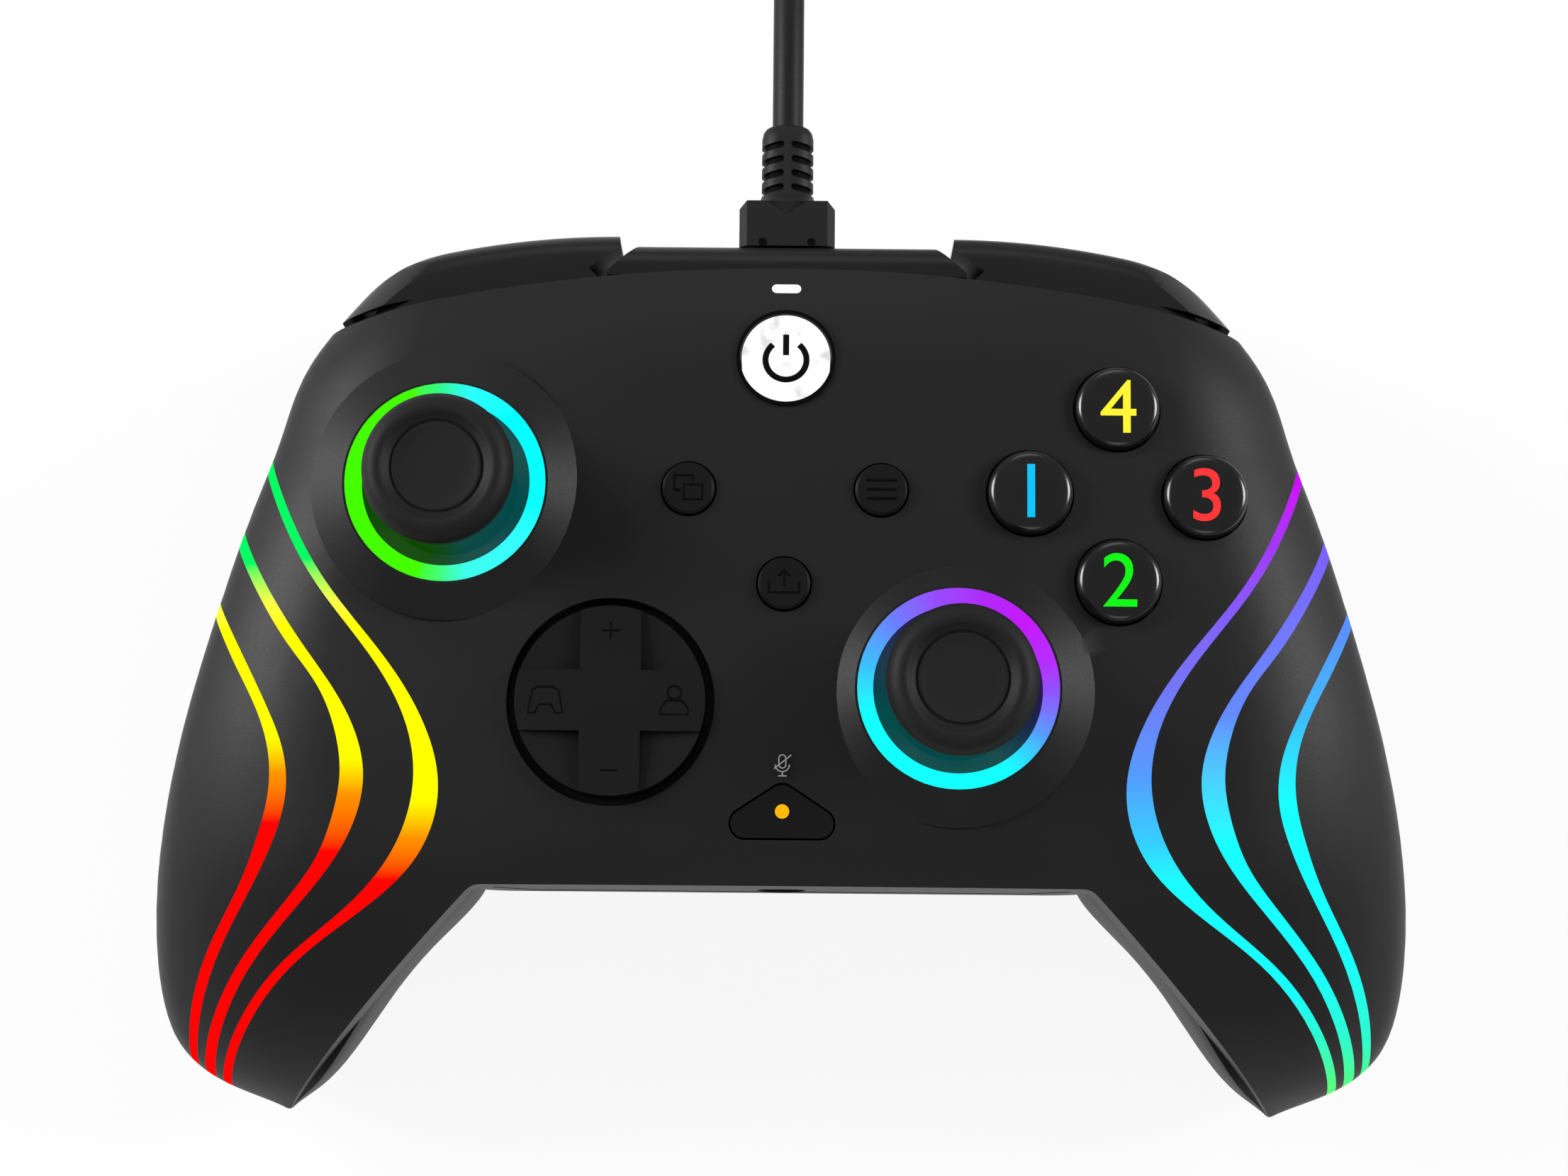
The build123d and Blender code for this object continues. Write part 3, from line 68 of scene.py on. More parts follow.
class Wire:
    """A shader socket that takes part in sums, so that a mask reads as arithmetic."""

    def __init__(self, finish, socket):
        self.finish = finish
        self.socket = socket

    def maths(self, operation, first, second):
        return self.finish.node("ShaderNodeMath", {"operation": operation}, {0: first, 1: second})

    def __add__(self, other):
        return self.maths("ADD", self, other)

    def __sub__(self, other):
        return self.maths("SUBTRACT", self, other)

    def __rsub__(self, other):
        return self.maths("SUBTRACT", other, self)

    def __mul__(self, other):
        return self.maths("MULTIPLY", self, other)

    def __lt__(self, other):
        return self.maths("LESS_THAN", self, other)

    __radd__ = __add__
    __rmul__ = __mul__


class Finish:
    """A material and the nodes that make it."""

    def __init__(self, name, **plain):
        self.material = bpy.data.materials.new(name)
        self.material.use_nodes = True
        self.tree = self.material.node_tree
        self.tree.nodes.clear()
        self.skin = self.tree.nodes.new("ShaderNodeBsdfPrincipled")
        end = self.tree.nodes.new("ShaderNodeOutputMaterial")
        self.tree.links.new(self.skin.outputs[0], end.inputs["Surface"])
        for socket, value in plain.items():
            self.skin.inputs[socket.replace("_", " ")].default_value = value

    def node(self, kind, settings=None, sockets=None, output=0):
        made = self.tree.nodes.new(kind)
        for name, value in (settings or {}).items():
            if name == "stops":
                ramp = made.color_ramp
                while len(ramp.elements) < len(value):
                    ramp.elements.new(1.0)
                for element, (place, colour) in zip(ramp.elements, value):
                    element.position = place
                    element.color = colour
            else:
                setattr(made, name, value)
        for name, value in (sockets or {}).items():
            self.feed(made.inputs[name], value)
        return Wire(self, made.outputs[output])

    def feed(self, socket, value):
        if isinstance(value, Wire):
            self.tree.links.new(value.socket, socket)
        else:
            socket.default_value = value

    def give(self, **sockets):
        for name, value in sockets.items():
            self.feed(self.skin.inputs[name.replace("_", " ")], value)
        return self

    def place(self, shift=(0, 0, 0), turn=(0, 0, 0), scale=(1, 1, 1)):
        """Object coordinates, moved, turned and scaled."""
        point = self.node("ShaderNodeTexCoord", output="Object")
        sockets = {"Vector": point, "Location": shift, "Rotation": turn, "Scale": scale}
        return self.node("ShaderNodeMapping", None, sockets)

    def noise(self, size, detail=2.0, where=None):
        """Soft noise whose lumps are about one size, in metres."""
        where = where or self.place()
        return self.node("ShaderNodeTexNoise", None, {"Vector": where, "Scale": 1 / size, "Detail": detail})

    def blend(self, share, first, second):
        """A colour between two others."""
        return self.node("ShaderNodeMix", {"data_type": "RGBA"}, {0: share, 6: first, 7: second}, 2)

    def ramp(self, share, stops, smooth="LINEAR"):
        made = self.node("ShaderNodeValToRGB", {"stops": stops}, {"Fac": share})
        made.socket.node.color_ramp.interpolation = smooth
        return made

    def bumps(self, height, depth, strength=1.0):
        """A normal from a height, with its full depth in metres."""
        return self.node("ShaderNodeBump", None, {"Height": height, "Distance": depth, "Strength": strength})


def moulded(name, tone, rough, grain=0.00022, depth=0.00001, gloss=0.25):
    """Spark-grained moulded plastic: a fine grain, with soft changes in tone."""
    made = Finish(name, Specular_IOR_Level=gloss)
    fine = made.noise(grain)
    cloud = made.noise(0.02, 3.0)
    colour = made.blend(cloud, grey(tone * 0.93), grey(tone * 1.07))
    return made.give(
        Base_Color=colour,
        Roughness=rough + (fine - 0.5) * 0.10 + (cloud - 0.5) * 0.06,
        Normal=made.bumps(fine, depth),
    )


def metal(name, tone, rough, stretch):
    """Drawn or plated metal with fine marks along it."""
    made = Finish(name, Metallic=1.0)
    marks = made.noise(0.0006, 3.0, made.place(scale=stretch))
    colour = made.blend(marks, grey(tone * 0.9), grey(tone))
    return made.give(Base_Color=colour, Roughness=rough + marks * 0.15, Normal=made.bumps(marks, 0.000008))


def diffuser(name, strength=1.0):
    """A frosted cover over a light, dark wherever the light leaves it."""
    return Finish(name, Base_Color=grey(0), Roughness=0.6, Specular_IOR_Level=0.0, Emission_Strength=strength)


shell_black = moulded("shell_black", 21, 0.50, gloss=0.22)
bumper_black = moulded("bumper_black", 23, 0.36, 0.00015, 0.000004, 0.22)
dpad_black = moulded("dpad_black", 19, 0.38, 0.00015, 0.000004, 0.18)
small_black = moulded("small_button_black", 17, 0.40, 0.00015, 0.000005, 0.15)
plug_black = moulded("plug_black", 24, 0.50, 0.0002, 0.00001, 0.2)
housing_black = moulded("housing_black", 34, 0.45)
acetal_white = moulded("acetal_white", 214, 0.40)
silicone_grey = moulded("silicone_grey", 150, 0.60)
board_green = moulded("board_green", 60, 0.35)
pin_steel = metal("pin_steel", 170, 0.22, (1, 6, 1))
socket_steel = metal("socket_steel", 200, 0.16, (6, 1, 1))

board_mask = board_green.noise(0.0012, 4.0)
board_green.give(Base_Color=board_green.blend(board_mask, shade(10, 62, 34), shade(16, 84, 46)))

stick_finish = (21, 0.58, 0.0003, 0.000015, 0.18)
cap_rubber = moulded("cap_rubber", *stick_finish)
gloss_black = Finish("gloss_black", Specular_IOR_Level=0.55, Coat_Weight=0.0)
gloss_cloud = gloss_black.noise(0.004, 2.0)
gloss_black.give(
    Base_Color=gloss_black.blend(gloss_cloud, grey(10), grey(18)),
    Roughness=0.17 + gloss_cloud * 0.06,
)
jacket_black = moulded("jacket_black", 18, 0.50, 0.0004, 0.00002, 0.2)
# Near-black with almost no gloss: the printed power symbol, and painted shade in the pressed-in marks, the
# connector's dimples and the strain relief's slots
print_and_painted_shade_black = moulded("print_and_painted_shade_black", 4, 0.60, 0.0003, 0.000008, 0.05)
mark_grey = moulded("mark_grey", 150, 0.5, 0.0003, 0.000004, 0.2)


def ink_with_painted_glow(name, colour):
    """Printed ink under the button's gloss, with a painted glow that lifts its colour."""
    made = Finish(name, Roughness=0.25, Specular_IOR_Level=0.3, Emission_Strength=0.30)
    cloud = made.noise(0.0015, 2.0)
    tone = made.blend(cloud, colour, tuple(part * 0.92 for part in colour[:3]) + (1.0,))
    return made.give(Base_Color=tone, Emission_Color=tone)


# Lights in the shell: colour by place along the body


def along(finish, rows):
    """A colour by the distance towards the cable, from rows of millimetres and colours."""
    low, high = rows[0][0], rows[-1][0]
    split = finish.node("ShaderNodeSeparateXYZ", None, {0: finish.place()}, 1)
    share = (split - low * mm) * (1 / ((high - low) * mm))
    return finish.ramp(share, [((y - low) / (high - low), shade(*colour)) for y, colour in rows])


def line_finish(name, rows):
    made = diffuser(name)
    return made.give(Emission_Color=along(made, rows))


left_rows = (
    ("inner", -26.6, -21.6, -17.3),
    ("middle", -23.3, -16.5, -12.3),
    ("outer", -19.8, -14.0, -9.8),
)
line_finishes = {}
for stem, red, orange, yellow in left_rows:
    line_finishes["left_" + stem] = line_finish(
        "left_" + stem + "_glow",
        (
            (-56.0, (255, 4, 3)),
            (red, (255, 4, 3)),
            (orange, (255, 150, 0)),
            (yellow, (255, 255, 0)),
            (4.0, (255, 255, 0)),
            (6.6, (255, 255, 72)),
            (9.3, (180, 255, 90)),
            (12.0, (5, 255, 100)),
            (32.0, (5, 255, 100)),
        ),
    )
right_rows = {
    "inner": (
        (-39.1, (25, 255, 255)),
        (-26.6, (25, 255, 255)),
        (-21.6, (53, 207, 255)),
        (-14.0, (84, 157, 255)),
        (-3.8, (114, 121, 246)),
        (6.6, (133, 92, 250)),
        (14.8, (164, 54, 253)),
        (23.7, (209, 14, 255)),
    ),
    "middle": (
        (-36.6, (25, 255, 255)),
        (-21.6, (25, 255, 255)),
        (-6.3, (100, 140, 255)),
        (12.9, (125, 100, 255)),
    ),
    "outer": (
        (-34.1, (25, 255, 255)),
        (-16.5, (25, 255, 255)),
        (-6.3, (60, 190, 255)),
        (4.9, (90, 145, 255)),
    ),
}
green_end = ((-56.0, (150, 252, 90)), (-49.5, (80, 254, 137)), (-44.3, (45, 251, 208)))
for stem, rows in right_rows.items():
    line_finishes["right_" + stem] = line_finish("right_" + stem + "_glow", green_end + rows)

ring_rows = {
    "left": (
        (0, (12, 254, 254)),
        (45, (3, 255, 255)),
        (75, (45, 255, 255)),
        (95, (52, 250, 130)),
        (110, (69, 255, 3)),
        (255, (69, 255, 3)),
        (268, (68, 254, 118)),
        (285, (61, 255, 237)),
        (320, (54, 252, 255)),
        (345, (10, 254, 252)),
    ),
    "right": (
        (0, (145, 80, 254)),
        (15, (179, 48, 255)),
        (45, (198, 25, 253)),
        (75, (176, 42, 251)),
        (105, (149, 77, 254)),
        (135, (106, 128, 255)),
        (165, (61, 189, 253)),
        (195, (20, 255, 255)),
        (300, (20, 255, 255)),
        (315, (46, 217, 255)),
        (330, (82, 161, 255)),
        (345, (120, 118, 255)),
    ),
}


def ring_colour(made, side, centre):
    """The colours of a light ring, which go round with the angle."""
    where = made.place(shift=(-centre.x, -centre.y, 0))
    share = made.node("ShaderNodeTexGradient", {"gradient_type": "RADIAL"}, {"Vector": where}, 1)
    rows = [(((angle + 180) % 360) / 360, shade(*colour)) for angle, colour in ring_rows[side]]
    rows.sort()
    first, last = rows[0], rows[-1]
    part = (1 - last[0]) / (first[0] + 1 - last[0])
    middle = tuple(a + (b - a) * part for a, b in zip(last[1], first[1]))
    return made.ramp(share, [(0.0, middle)] + rows + [(1.0, middle)])


def ring_finish(side, centre):
    made = diffuser(side + "_ring_glow")
    return made.give(Emission_Color=ring_colour(made, side, centre))


# Painted glow: below this height the ring's light is painted on the stick's dome and the funnel as a faint
# emission
painted_dome_glow_top = 46.5
painted_dome_glow = 0.065


def painted_glow_finish(name, side, centre):
    """Stick rubber or shell, with the ring's light painted as a faint glow on what lies below it."""
    made = moulded(name, *stick_finish)
    made.skin.inputs["Emission Strength"].default_value = painted_dome_glow
    height = made.node("ShaderNodeSeparateXYZ", None, {0: made.place()}, 2)
    painted_glow_mask = height < painted_dome_glow_top * mm
    return made.give(Emission_Color=made.blend(painted_glow_mask, grey(0), ring_colour(made, side, centre)))


home_glow = diffuser("home_glow")
home_cloud = home_glow.noise(0.0022, 4.0)
home_glow.give(Emission_Color=home_glow.ramp(home_cloud, [(0.30, grey(222)), (0.46, grey(255))], "EASE"))
status_glow = diffuser("status_glow")
status_cloud = status_glow.noise(0.001, 1.0)
status_glow.give(Emission_Color=status_glow.blend(status_cloud, grey(250), grey(255)))
amber_glow = diffuser("amber_glow")
amber_cloud = amber_glow.noise(0.001, 1.0)
amber_glow.give(Emission_Color=amber_glow.blend(amber_cloud, shade(251, 182, 2), shade(255, 192, 20)))

# The finishes of the solids, some of which are replaced further on

ring_centres = {}
for side, _ in SIDES:
    low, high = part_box(side + "_light_ring")
    ring_centres[side] = (low + high) / 2

finishes = {
    "front_shell": shell_black,
    "rear_shell": shell_black,
    "audio_button": small_black,
    "audio_light": amber_glow,
    "audio_jack": housing_black,
    "top_bridge": bumper_black,
    "dpad_disc": dpad_black,
    "dpad_pivot": acetal_white,
    "dpad_post": housing_black,
    "menu_button": small_black,
    "view_button": small_black,
    "capture_button": small_black,
    "home_bezel": print_and_painted_shade_black,
    "home_button": home_glow,
    "status_light": status_glow,
    "face_button_pad": silicone_grey,
    "main_board": board_green,
    "usb_socket": socket_steel,
    "case_screws": pin_steel,
    "trigger_pins": pin_steel,
    "cable_connector": plug_black,
    "strain_relief": plug_black,
    "cable_run": jacket_black,
    "cable_coil": jacket_black,
    "cable_tail": jacket_black,
    "plug_body": plug_black,
    "plug_shell": socket_steel,
}
for name in ("top", "right", "left", "bottom"):
    finishes[name + "_face_button"] = gloss_black
for side, _ in SIDES:
    finishes[side + "_light_ring"] = ring_finish(side, ring_centres[side])
    finishes[side + "_bumper"] = bumper_black
    finishes[side + "_trigger"] = bumper_black
    finishes[side + "_stick_cap"] = cap_rubber
    finishes[side + "_stick_housing"] = housing_black
    finishes[side + "_rumble_motor"] = pin_steel
    finishes[side + "_rumble_weight"] = pin_steel
    for stem in ("shaft", "hub", "yoke", "bail"):
        finishes[side + "_stick_" + stem] = acetal_white
    for stem in ("inner", "middle", "outer"):
        finishes[side + "_" + stem + "_light_line"] = line_finishes[side + "_" + stem]

for name, node in nodes.items():
    node.data.materials.clear()
    node.data.materials.append(finishes[name].material)
    node.data.polygons.foreach_set("use_smooth", [True] * len(node.data.polygons))
    if "custom_normal" in node.data.attributes:
        node.data.attributes.remove(node.data.attributes["custom_normal"])
    weld = node.modifiers.new("joined", "WELD")
    weld.merge_threshold = touching
    split = node.modifiers.new("sharp_edges", "EDGE_SPLIT")
    split.split_angle = math.radians(sharp_angle)

# Making pieces


def piece(name, mesh, finish, body, smooth=sharp_angle):
    """A finished mesh as a piece that rides on a body."""
    made = bpy.data.objects.new(name, mesh)
    bpy.context.scene.collection.objects.link(made)
    mesh.materials.clear()
    mesh.materials.append(finish.material)
    if smooth:
        mesh.polygons.foreach_set("use_smooth", [True] * len(mesh.polygons))
        mesh.set_sharp_from_angle(angle=math.radians(smooth))
    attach(made, body)
    return made


def meshed(name, shape):
    mesh = bpy.data.meshes.new(name)
    shape.to_mesh(mesh)
    shape.free()
    return mesh


def spun(profile, centre, steps=96):
    """A round shape: radius and height in millimetres, turned about a line through centre."""
    shape = bmesh.new()
    points = [shape.verts.new((radius * mm, 0, height * mm)) for radius, height in profile]
    line = [shape.edges.new(pair) for pair in zip(points, points[1:])]
    bmesh.ops.spin(
        shape,
        geom=points + line,
        cent=(0, 0, 0),
        axis=(0, 0, 1),
        angle=math.tau,
        steps=steps,
        use_merge=True,
    )
    bmesh.ops.remove_doubles(shape, verts=shape.verts[:], dist=touching)
    bmesh.ops.recalc_face_normals(shape, faces=shape.faces[:])
    bmesh.ops.translate(shape, verts=shape.verts[:], vec=centre)
    return shape


def flattened(curve, name):
    """A curve object's mesh, at the origin."""
    holder = bpy.data.objects.new(name, curve)
    bpy.context.scene.collection.objects.link(holder)
    bpy.context.view_layer.update()
    seen = holder.evaluated_get(bpy.context.evaluated_depsgraph_get())
    mesh = bpy.data.meshes.new_from_object(seen)
    bpy.data.objects.remove(holder)
    return mesh


def strokes(name, paths, width, place, tilt=0.0):
    """Rounded strokes on a surface: paths in millimetres about a place."""
    curve = bpy.data.curves.new(name, "CURVE")
    curve.dimensions = "3D"
    curve.bevel_depth = width / 2 * mm
    curve.bevel_resolution = 2
    curve.use_fill_caps = True
    for path in paths:
        closed = path[0] == path[-1]
        spline = curve.splines.new("POLY")
        points = path[:-1] if closed else path
        spline.points.add(len(points) - 1)
        for point, (x, y) in zip(spline.points, points):
            point.co = (x * mm, y * mm, 0, 1)
        spline.use_cyclic_u = closed
    mesh = flattened(curve, name)
    mesh.transform(Matrix.Diagonal((1, 1, stroke_height, 1)))
    mesh.transform(Matrix.Rotation(tilt, 4, "X"))
    mesh.transform(Matrix.Translation(place))
    return mesh


def ring_path(x, y, radius, first=0, last=360, step=20):
    """Points round a circle or an arc, in millimetres and degrees."""
    count = round((last - first) / step)
    angles = [math.radians(first + step * turn) for turn in range(count + 1)]
    points = [(round(x + radius * math.cos(a), 4), round(y + radius * math.sin(a), 4)) for a in angles]
    if last - first == 360:
        points[-1] = points[0]
    return points


def top_of(name):
    """The middle of the top of a CAD node."""
    low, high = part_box(name)
    return Vector(((low.x + high.x) / 2, (low.y + high.y) / 2, high.z))


# Cable: straight out of its relief, down to the table, then coiled behind the pad

run_route = (
    (0.0, 69.3, 31.1),
    (0.0, 84.0, 31.1),
    (0.0, 101.0, 27.0),
    (0.0, 117.0, 17.5),
    (0.0, 128.0, 10.0),
    (0.0, 139.0, 6.35),
    (0.0, 148.1, 6.35),
)
tail_route = ((0.0, 155.9, 2.0), (0.0, 163.6, 2.0), (0.0, 172.6, 3.4), (0.0, 180.0, 3.4))
cord_radius = 1.95
coil_start = (0.0, 152.0)
coil_outer = 47.6
coil_pitch = 4.4
coil_half_turns = 10
coil_floor = 2.0
coil_rise = 4.35
coil_steps = 8
coil_spread = 1.012


def coil_route():
    """The turns of the coil, inwards on the upper layer and out again below."""
    x, y = coil_start
    step = coil_pitch / 2
    radii = [coil_outer - step * turn for turn in range(coil_half_turns)]
    high = coil_floor + coil_rise
    plan = [(radius, high, high) for radius in radii]
    plan.append((radii[-1] - step, high, coil_floor))
    plan += [(radius, coil_floor, coil_floor) for radius in reversed(radii[1:])]
    points = []
    side = 1
    for radius, level, end in plan:
        spread = radius * coil_spread
        for turn in range(coil_steps):
            angle = math.pi * turn / coil_steps
            share = turn / coil_steps
            middle = x + side * radius
            reach = spread if turn else radius
            points.append(
                (
                    middle - side * reach * math.cos(angle),
                    y + side * reach * math.sin(angle),
                    level + (end - level) * share,
                )
            )
        x += side * 2 * radius
        side = -side
    points.append((x, y, coil_floor))
    return points


cord_line = bpy.data.curves.new("cord_jacket", "CURVE")
cord_line.dimensions = "3D"
cord_line.resolution_u = 6
cord_line.bevel_depth = cord_radius * mm
cord_line.bevel_resolution = 4
cord_line.use_fill_caps = True
cord_points = list(run_route) + coil_route() + list(tail_route)
spline = cord_line.splines.new("NURBS")
spline.points.add(len(cord_points) - 1)
for point, (x, y, z) in zip(spline.points, cord_points):
    point.co = (x * mm, y * mm, z * mm, 1)
spline.order_u = 3
spline.use_endpoint_u = True
cord_line.materials.append(jacket_black.material)
cord_jacket = bpy.data.objects.new("cord_jacket", cord_line)
bpy.context.scene.collection.objects.link(cord_jacket)
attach(cord_jacket, "case")
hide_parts("cable_run", "cable_coil", "cable_tail")

# Strain relief: a rounded sleeve with four slots a side, moulded onto the connector

relief_height = 31.1
relief_rows = (
    (57.4, 0.4, 4.05),
    (59.0, 4.4, 4.4),
    (59.3, 3.85, 4.2),
    (59.7, 3.5, 3.8),
    (60.3, 3.32, 3.2),
    (61.2, 3.26, 2.85),
    (67.9, 3.26, 2.8),
    (68.7, 3.08, 2.7),
    (69.15, 2.75, 2.5),
    (69.4, 2.3, 2.2),
    (69.5, 1.9, 1.9),
)
relief_power = 2.6
relief_slots = (61.2, 63.05, 64.9, 66.75)
relief_slot_half = 0.46
relief_slot_reach = 6.0
relief_slot_steps = 8
relief_web = 0.45
relief_slant = 0.2
relief_core_share = 0.88


def sleeve(rows, power, sides=48):
    """A closed tube of rounded sections: place along the cable, half width and half height."""
    shape = bmesh.new()
    rings = []
    for y, wide, tall in rows:
        ring = []
        for side in range(sides):
            turn = math.tau * side / sides
            c, s = math.cos(turn), math.sin(turn)
            swell = (abs(c) ** power + abs(s) ** power) ** (-1 / power)
            point = (wide * swell * c * mm, y * mm, (relief_height + tall * swell * s) * mm)
            ring.append(shape.verts.new(point))
        rings.append(ring)
    for low, high in zip(rings, rings[1:]):
        for side in range(sides):
            after = (side + 1) % sides
            shape.faces.new((low[side], low[after], high[after], high[side]))
    shape.faces.new(rings[0][::-1])
    shape.faces.new(rings[-1])
    bmesh.ops.recalc_face_normals(shape, faces=shape.faces[:])
    return shape


def slot_cutter(side, y):
    """A round-ended slot that stops at the web in the middle."""
    shape = bmesh.new()
    half = relief_slot_half
    start = relief_web + half
    reach = relief_slot_reach
    floor = relief_height - reach
    outline = [(reach, -half), (reach, half)]
    for turn in range(relief_slot_steps + 1):
        angle = math.pi / 2 + math.pi * turn / relief_slot_steps
        outline.append((start + half * math.cos(angle), half * math.sin(angle)))
    low = [
        shape.verts.new((side * x * mm, (y + dy - relief_slant * (x - start)) * mm, floor * mm))
        for x, dy in outline
    ]
    face = shape.faces.new(low)
    made = bmesh.ops.extrude_face_region(shape, geom=[face])
    top = [vertex for vertex in made["geom"] if isinstance(vertex, bmesh.types.BMVert)]
    bmesh.ops.translate(shape, verts=top, vec=(0, 0, 2 * reach * mm))
    bmesh.ops.recalc_face_normals(shape, faces=shape.faces[:])
    return shape


def carved(name, mesh, cutters):
    """A mesh with each cutter's space taken out of it."""
    holder = bpy.data.objects.new(name, mesh)
    bpy.context.scene.collection.objects.link(holder)
    tools = []
    for cutter in cutters:
        tool = bpy.data.objects.new(name + "_cutter", meshed(name + "_cutter", cutter))
        bpy.context.scene.collection.objects.link(tool)
        cut = holder.modifiers.new("cut", "BOOLEAN")
        cut.operation = "DIFFERENCE"
        cut.solver = "EXACT"
        cut.object = tool
        tools.append(tool)
    bpy.context.view_layer.update()
    seen = holder.evaluated_get(bpy.context.evaluated_depsgraph_get())
    result = bpy.data.meshes.new_from_object(seen)
    for tool in tools + [holder]:
        bpy.data.objects.remove(tool)
    return result


# A smaller sleeve inside fills the slots' floors in near-black: painted shade in the slots
core_rows = [(y, wide * relief_core_share, tall * relief_core_share) for y, wide, tall in relief_rows]
relief_core_painted_shade = sleeve(core_rows, relief_power)
cutters = [slot_cutter(sign, y) for _, sign in SIDES for y in relief_slots]
relief_solid = meshed("relief_sleeve", sleeve(relief_rows, relief_power))
relief_mesh = carved("relief_sleeve", relief_solid, cutters)
relief = piece("relief_sleeve", relief_mesh, plug_black, "case", 40)
piece("relief_core_painted_shade", meshed("relief_core_painted_shade", relief_core_painted_shade), print_and_painted_shade_black, "case", 40)
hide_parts("strain_relief")

# The near wall of the case between the handles, round the headset socket

wall_outline = (
    (-32.6, 37.38),
    (-35.3, 36.4),
    (-35.3, 35.0),
    (-30.2, 29.85),
    (30.2, 29.85),
    (35.3, 35.0),
    (35.3, 36.4),
    (32.6, 37.38),
)
wall_face = -27.15
wall_thick = 1.9
socket_height = 32.6
socket_hole_radius = 3.0
socket_hole_turn = math.radians(90)
plate = bmesh.new()
corners = [plate.verts.new((x * mm, wall_face * mm, z * mm)) for x, z in wall_outline]
made = bmesh.ops.extrude_face_region(plate, geom=[plate.faces.new(corners)])
moved = [vertex for vertex in made["geom"] if isinstance(vertex, bmesh.types.BMVert)]
bmesh.ops.translate(plate, verts=moved, vec=(0, wall_thick * mm, 0))
bmesh.ops.recalc_face_normals(plate, faces=plate.faces[:])
hole_place = Matrix.Translation((0, wall_face * mm, socket_height * mm))
hole = bmesh.new()
bmesh.ops.create_cone(
    hole,
    cap_ends=True,
    segments=64,
    radius1=socket_hole_radius * mm,
    radius2=socket_hole_radius * mm,
    depth=4 * wall_thick * mm,
    matrix=hole_place @ Matrix.Rotation(socket_hole_turn, 4, "X"),
)
wall_mesh = carved("near_wall", meshed("near_wall", plate), [hole])
piece("near_wall", wall_mesh, shell_black, "case")

# Stick caps: a rounded rubber rim, a ridge inside it and a dished middle

cap_profile = (
    (0.0, 8.1),
    (1.5, 7.96),
    (3.0, 7.52),
    (4.5, 6.74),
    (6.0, 5.44),
    (6.8, 4.4),
    (7.32, 3.5),
    (8.6, 3.5),
    (8.1, 4.6),
    (7.2, 5.9),
    (6.1, 7.0),
    (4.8, 8.0),
    (3.9, 8.5),
    (3.9, 15.2),
    (4.4, 16.0),
    (5.6, 16.5),
    (7.9, 16.7),
    (8.6, 17.2),
    (8.95, 18.0),
    (9.0, 18.9),
    (8.92, 19.6),
    (8.65, 20.4),
    (8.2, 21.0),
    (7.6, 21.4),
    (7.0, 21.5),
    (6.6, 21.42),
    (6.3, 21.2),
    (6.0, 20.95),
    (5.75, 20.82),
    (5.6, 20.72),
    (5.5, 20.52),
    (5.42, 20.5),
    (5.32, 20.56),
    (5.25, 20.72),
    (5.05, 20.76),
    (4.85, 20.7),
    (3.6, 20.58),
    (1.8, 20.5),
    (0.0, 20.48),
)
pivot_height = 36.5
stick_steps = 120
for side, _ in SIDES:
    centre = ring_centres[side]
    shape = spun(cap_profile, (centre.x, centre.y, pivot_height * mm), stick_steps)
    cap_name = side + "_cap_rubber"
    # The cap's dome below the ring carries the ring's light as a painted glow
    finish = painted_glow_finish(cap_name, side, centre)
    cap = piece(cap_name, meshed(cap_name, shape), finish, side + "_stick", 40)
    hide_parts(side + "_stick_cap")

# The funnel between each ring and the stick's dome, with the ring's light painted on it as a glow

lip_profile = ((10.17, 45.06), (8.18, 41.88), (8.4, 41.6), (10.4, 44.7), (10.17, 45.06))
for side, _ in SIDES:
    centre = ring_centres[side]
    lip_name = side + "_ring_lip"
    shape = spun(lip_profile, (centre.x, centre.y, 0), stick_steps)
    finish = painted_glow_finish(side + "_lit_shell", side, centre)
    piece(lip_name, meshed(lip_name, shape), finish, "case", 40)

# Face buttons: a glossy cap with a rounded rim, over its flange and its stem

button_profile = (
    (0.0, 34.3),
    (2.2, 34.3),
    (2.2, 38.2),
    (6.3, 38.2),
    (6.3, 39.2),
    (5.15, 39.2),
)
button_rim = (
    (5.15, -1.25),
    (5.08, -0.85),
    (4.92, -0.52),
    (4.66, -0.26),
    (4.30, -0.12),
    (3.60, -0.05),
    (2.40, -0.02),
    (0.0, 0.0),
)
for name in ("top", "right", "left", "bottom"):
    crown = top_of(name + "_face_button")
    profile = button_profile + tuple((radius, crown.z / mm + drop) for radius, drop in button_rim)
    shape = spun(profile, (crown.x, crown.y, 0))
    cap_name = name + "_button_cap"
    cap = piece(cap_name, meshed(cap_name, shape), gloss_black, name + "_button_body", 40)
    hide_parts(name + "_face_button")

# Plain numbers on the face buttons, in printed ink with a painted glow

number_inks = {
    "left": ("1", shade(0, 168, 214)),
    "bottom": ("2", shade(0, 213, 4)),
    "right": ("3", shade(238, 42, 44)),
    "top": ("4", shade(222, 210, 42)),
}
number_height = 6.5
number_size = 0.01
number_depth = 0.00004
for name, (text, colour) in number_inks.items():
    words = bpy.data.curves.new(name + "_number", "FONT")
    words.body = text
    words.size = number_size
    words.extrude = number_depth
    words.resolution_u = 6
    mesh = flattened(words, name + "_number")
    across = [vertex.co.x for vertex in mesh.vertices]
    upward = [vertex.co.y for vertex in mesh.vertices]
    scale = number_height * mm / (max(upward) - min(upward))
    middle = Vector((min(across) + max(across), min(upward) + max(upward), 0)) / 2
    mesh.transform(Matrix.Translation(-middle))
    mesh.transform(Matrix.Diagonal((scale, scale, 1, 1)))
    mesh.transform(Matrix.Translation(top_of(name + "_face_button")))
    piece(name + "_number", mesh, ink_with_painted_glow(name + "_ink", colour), name + "_button_body", 0)
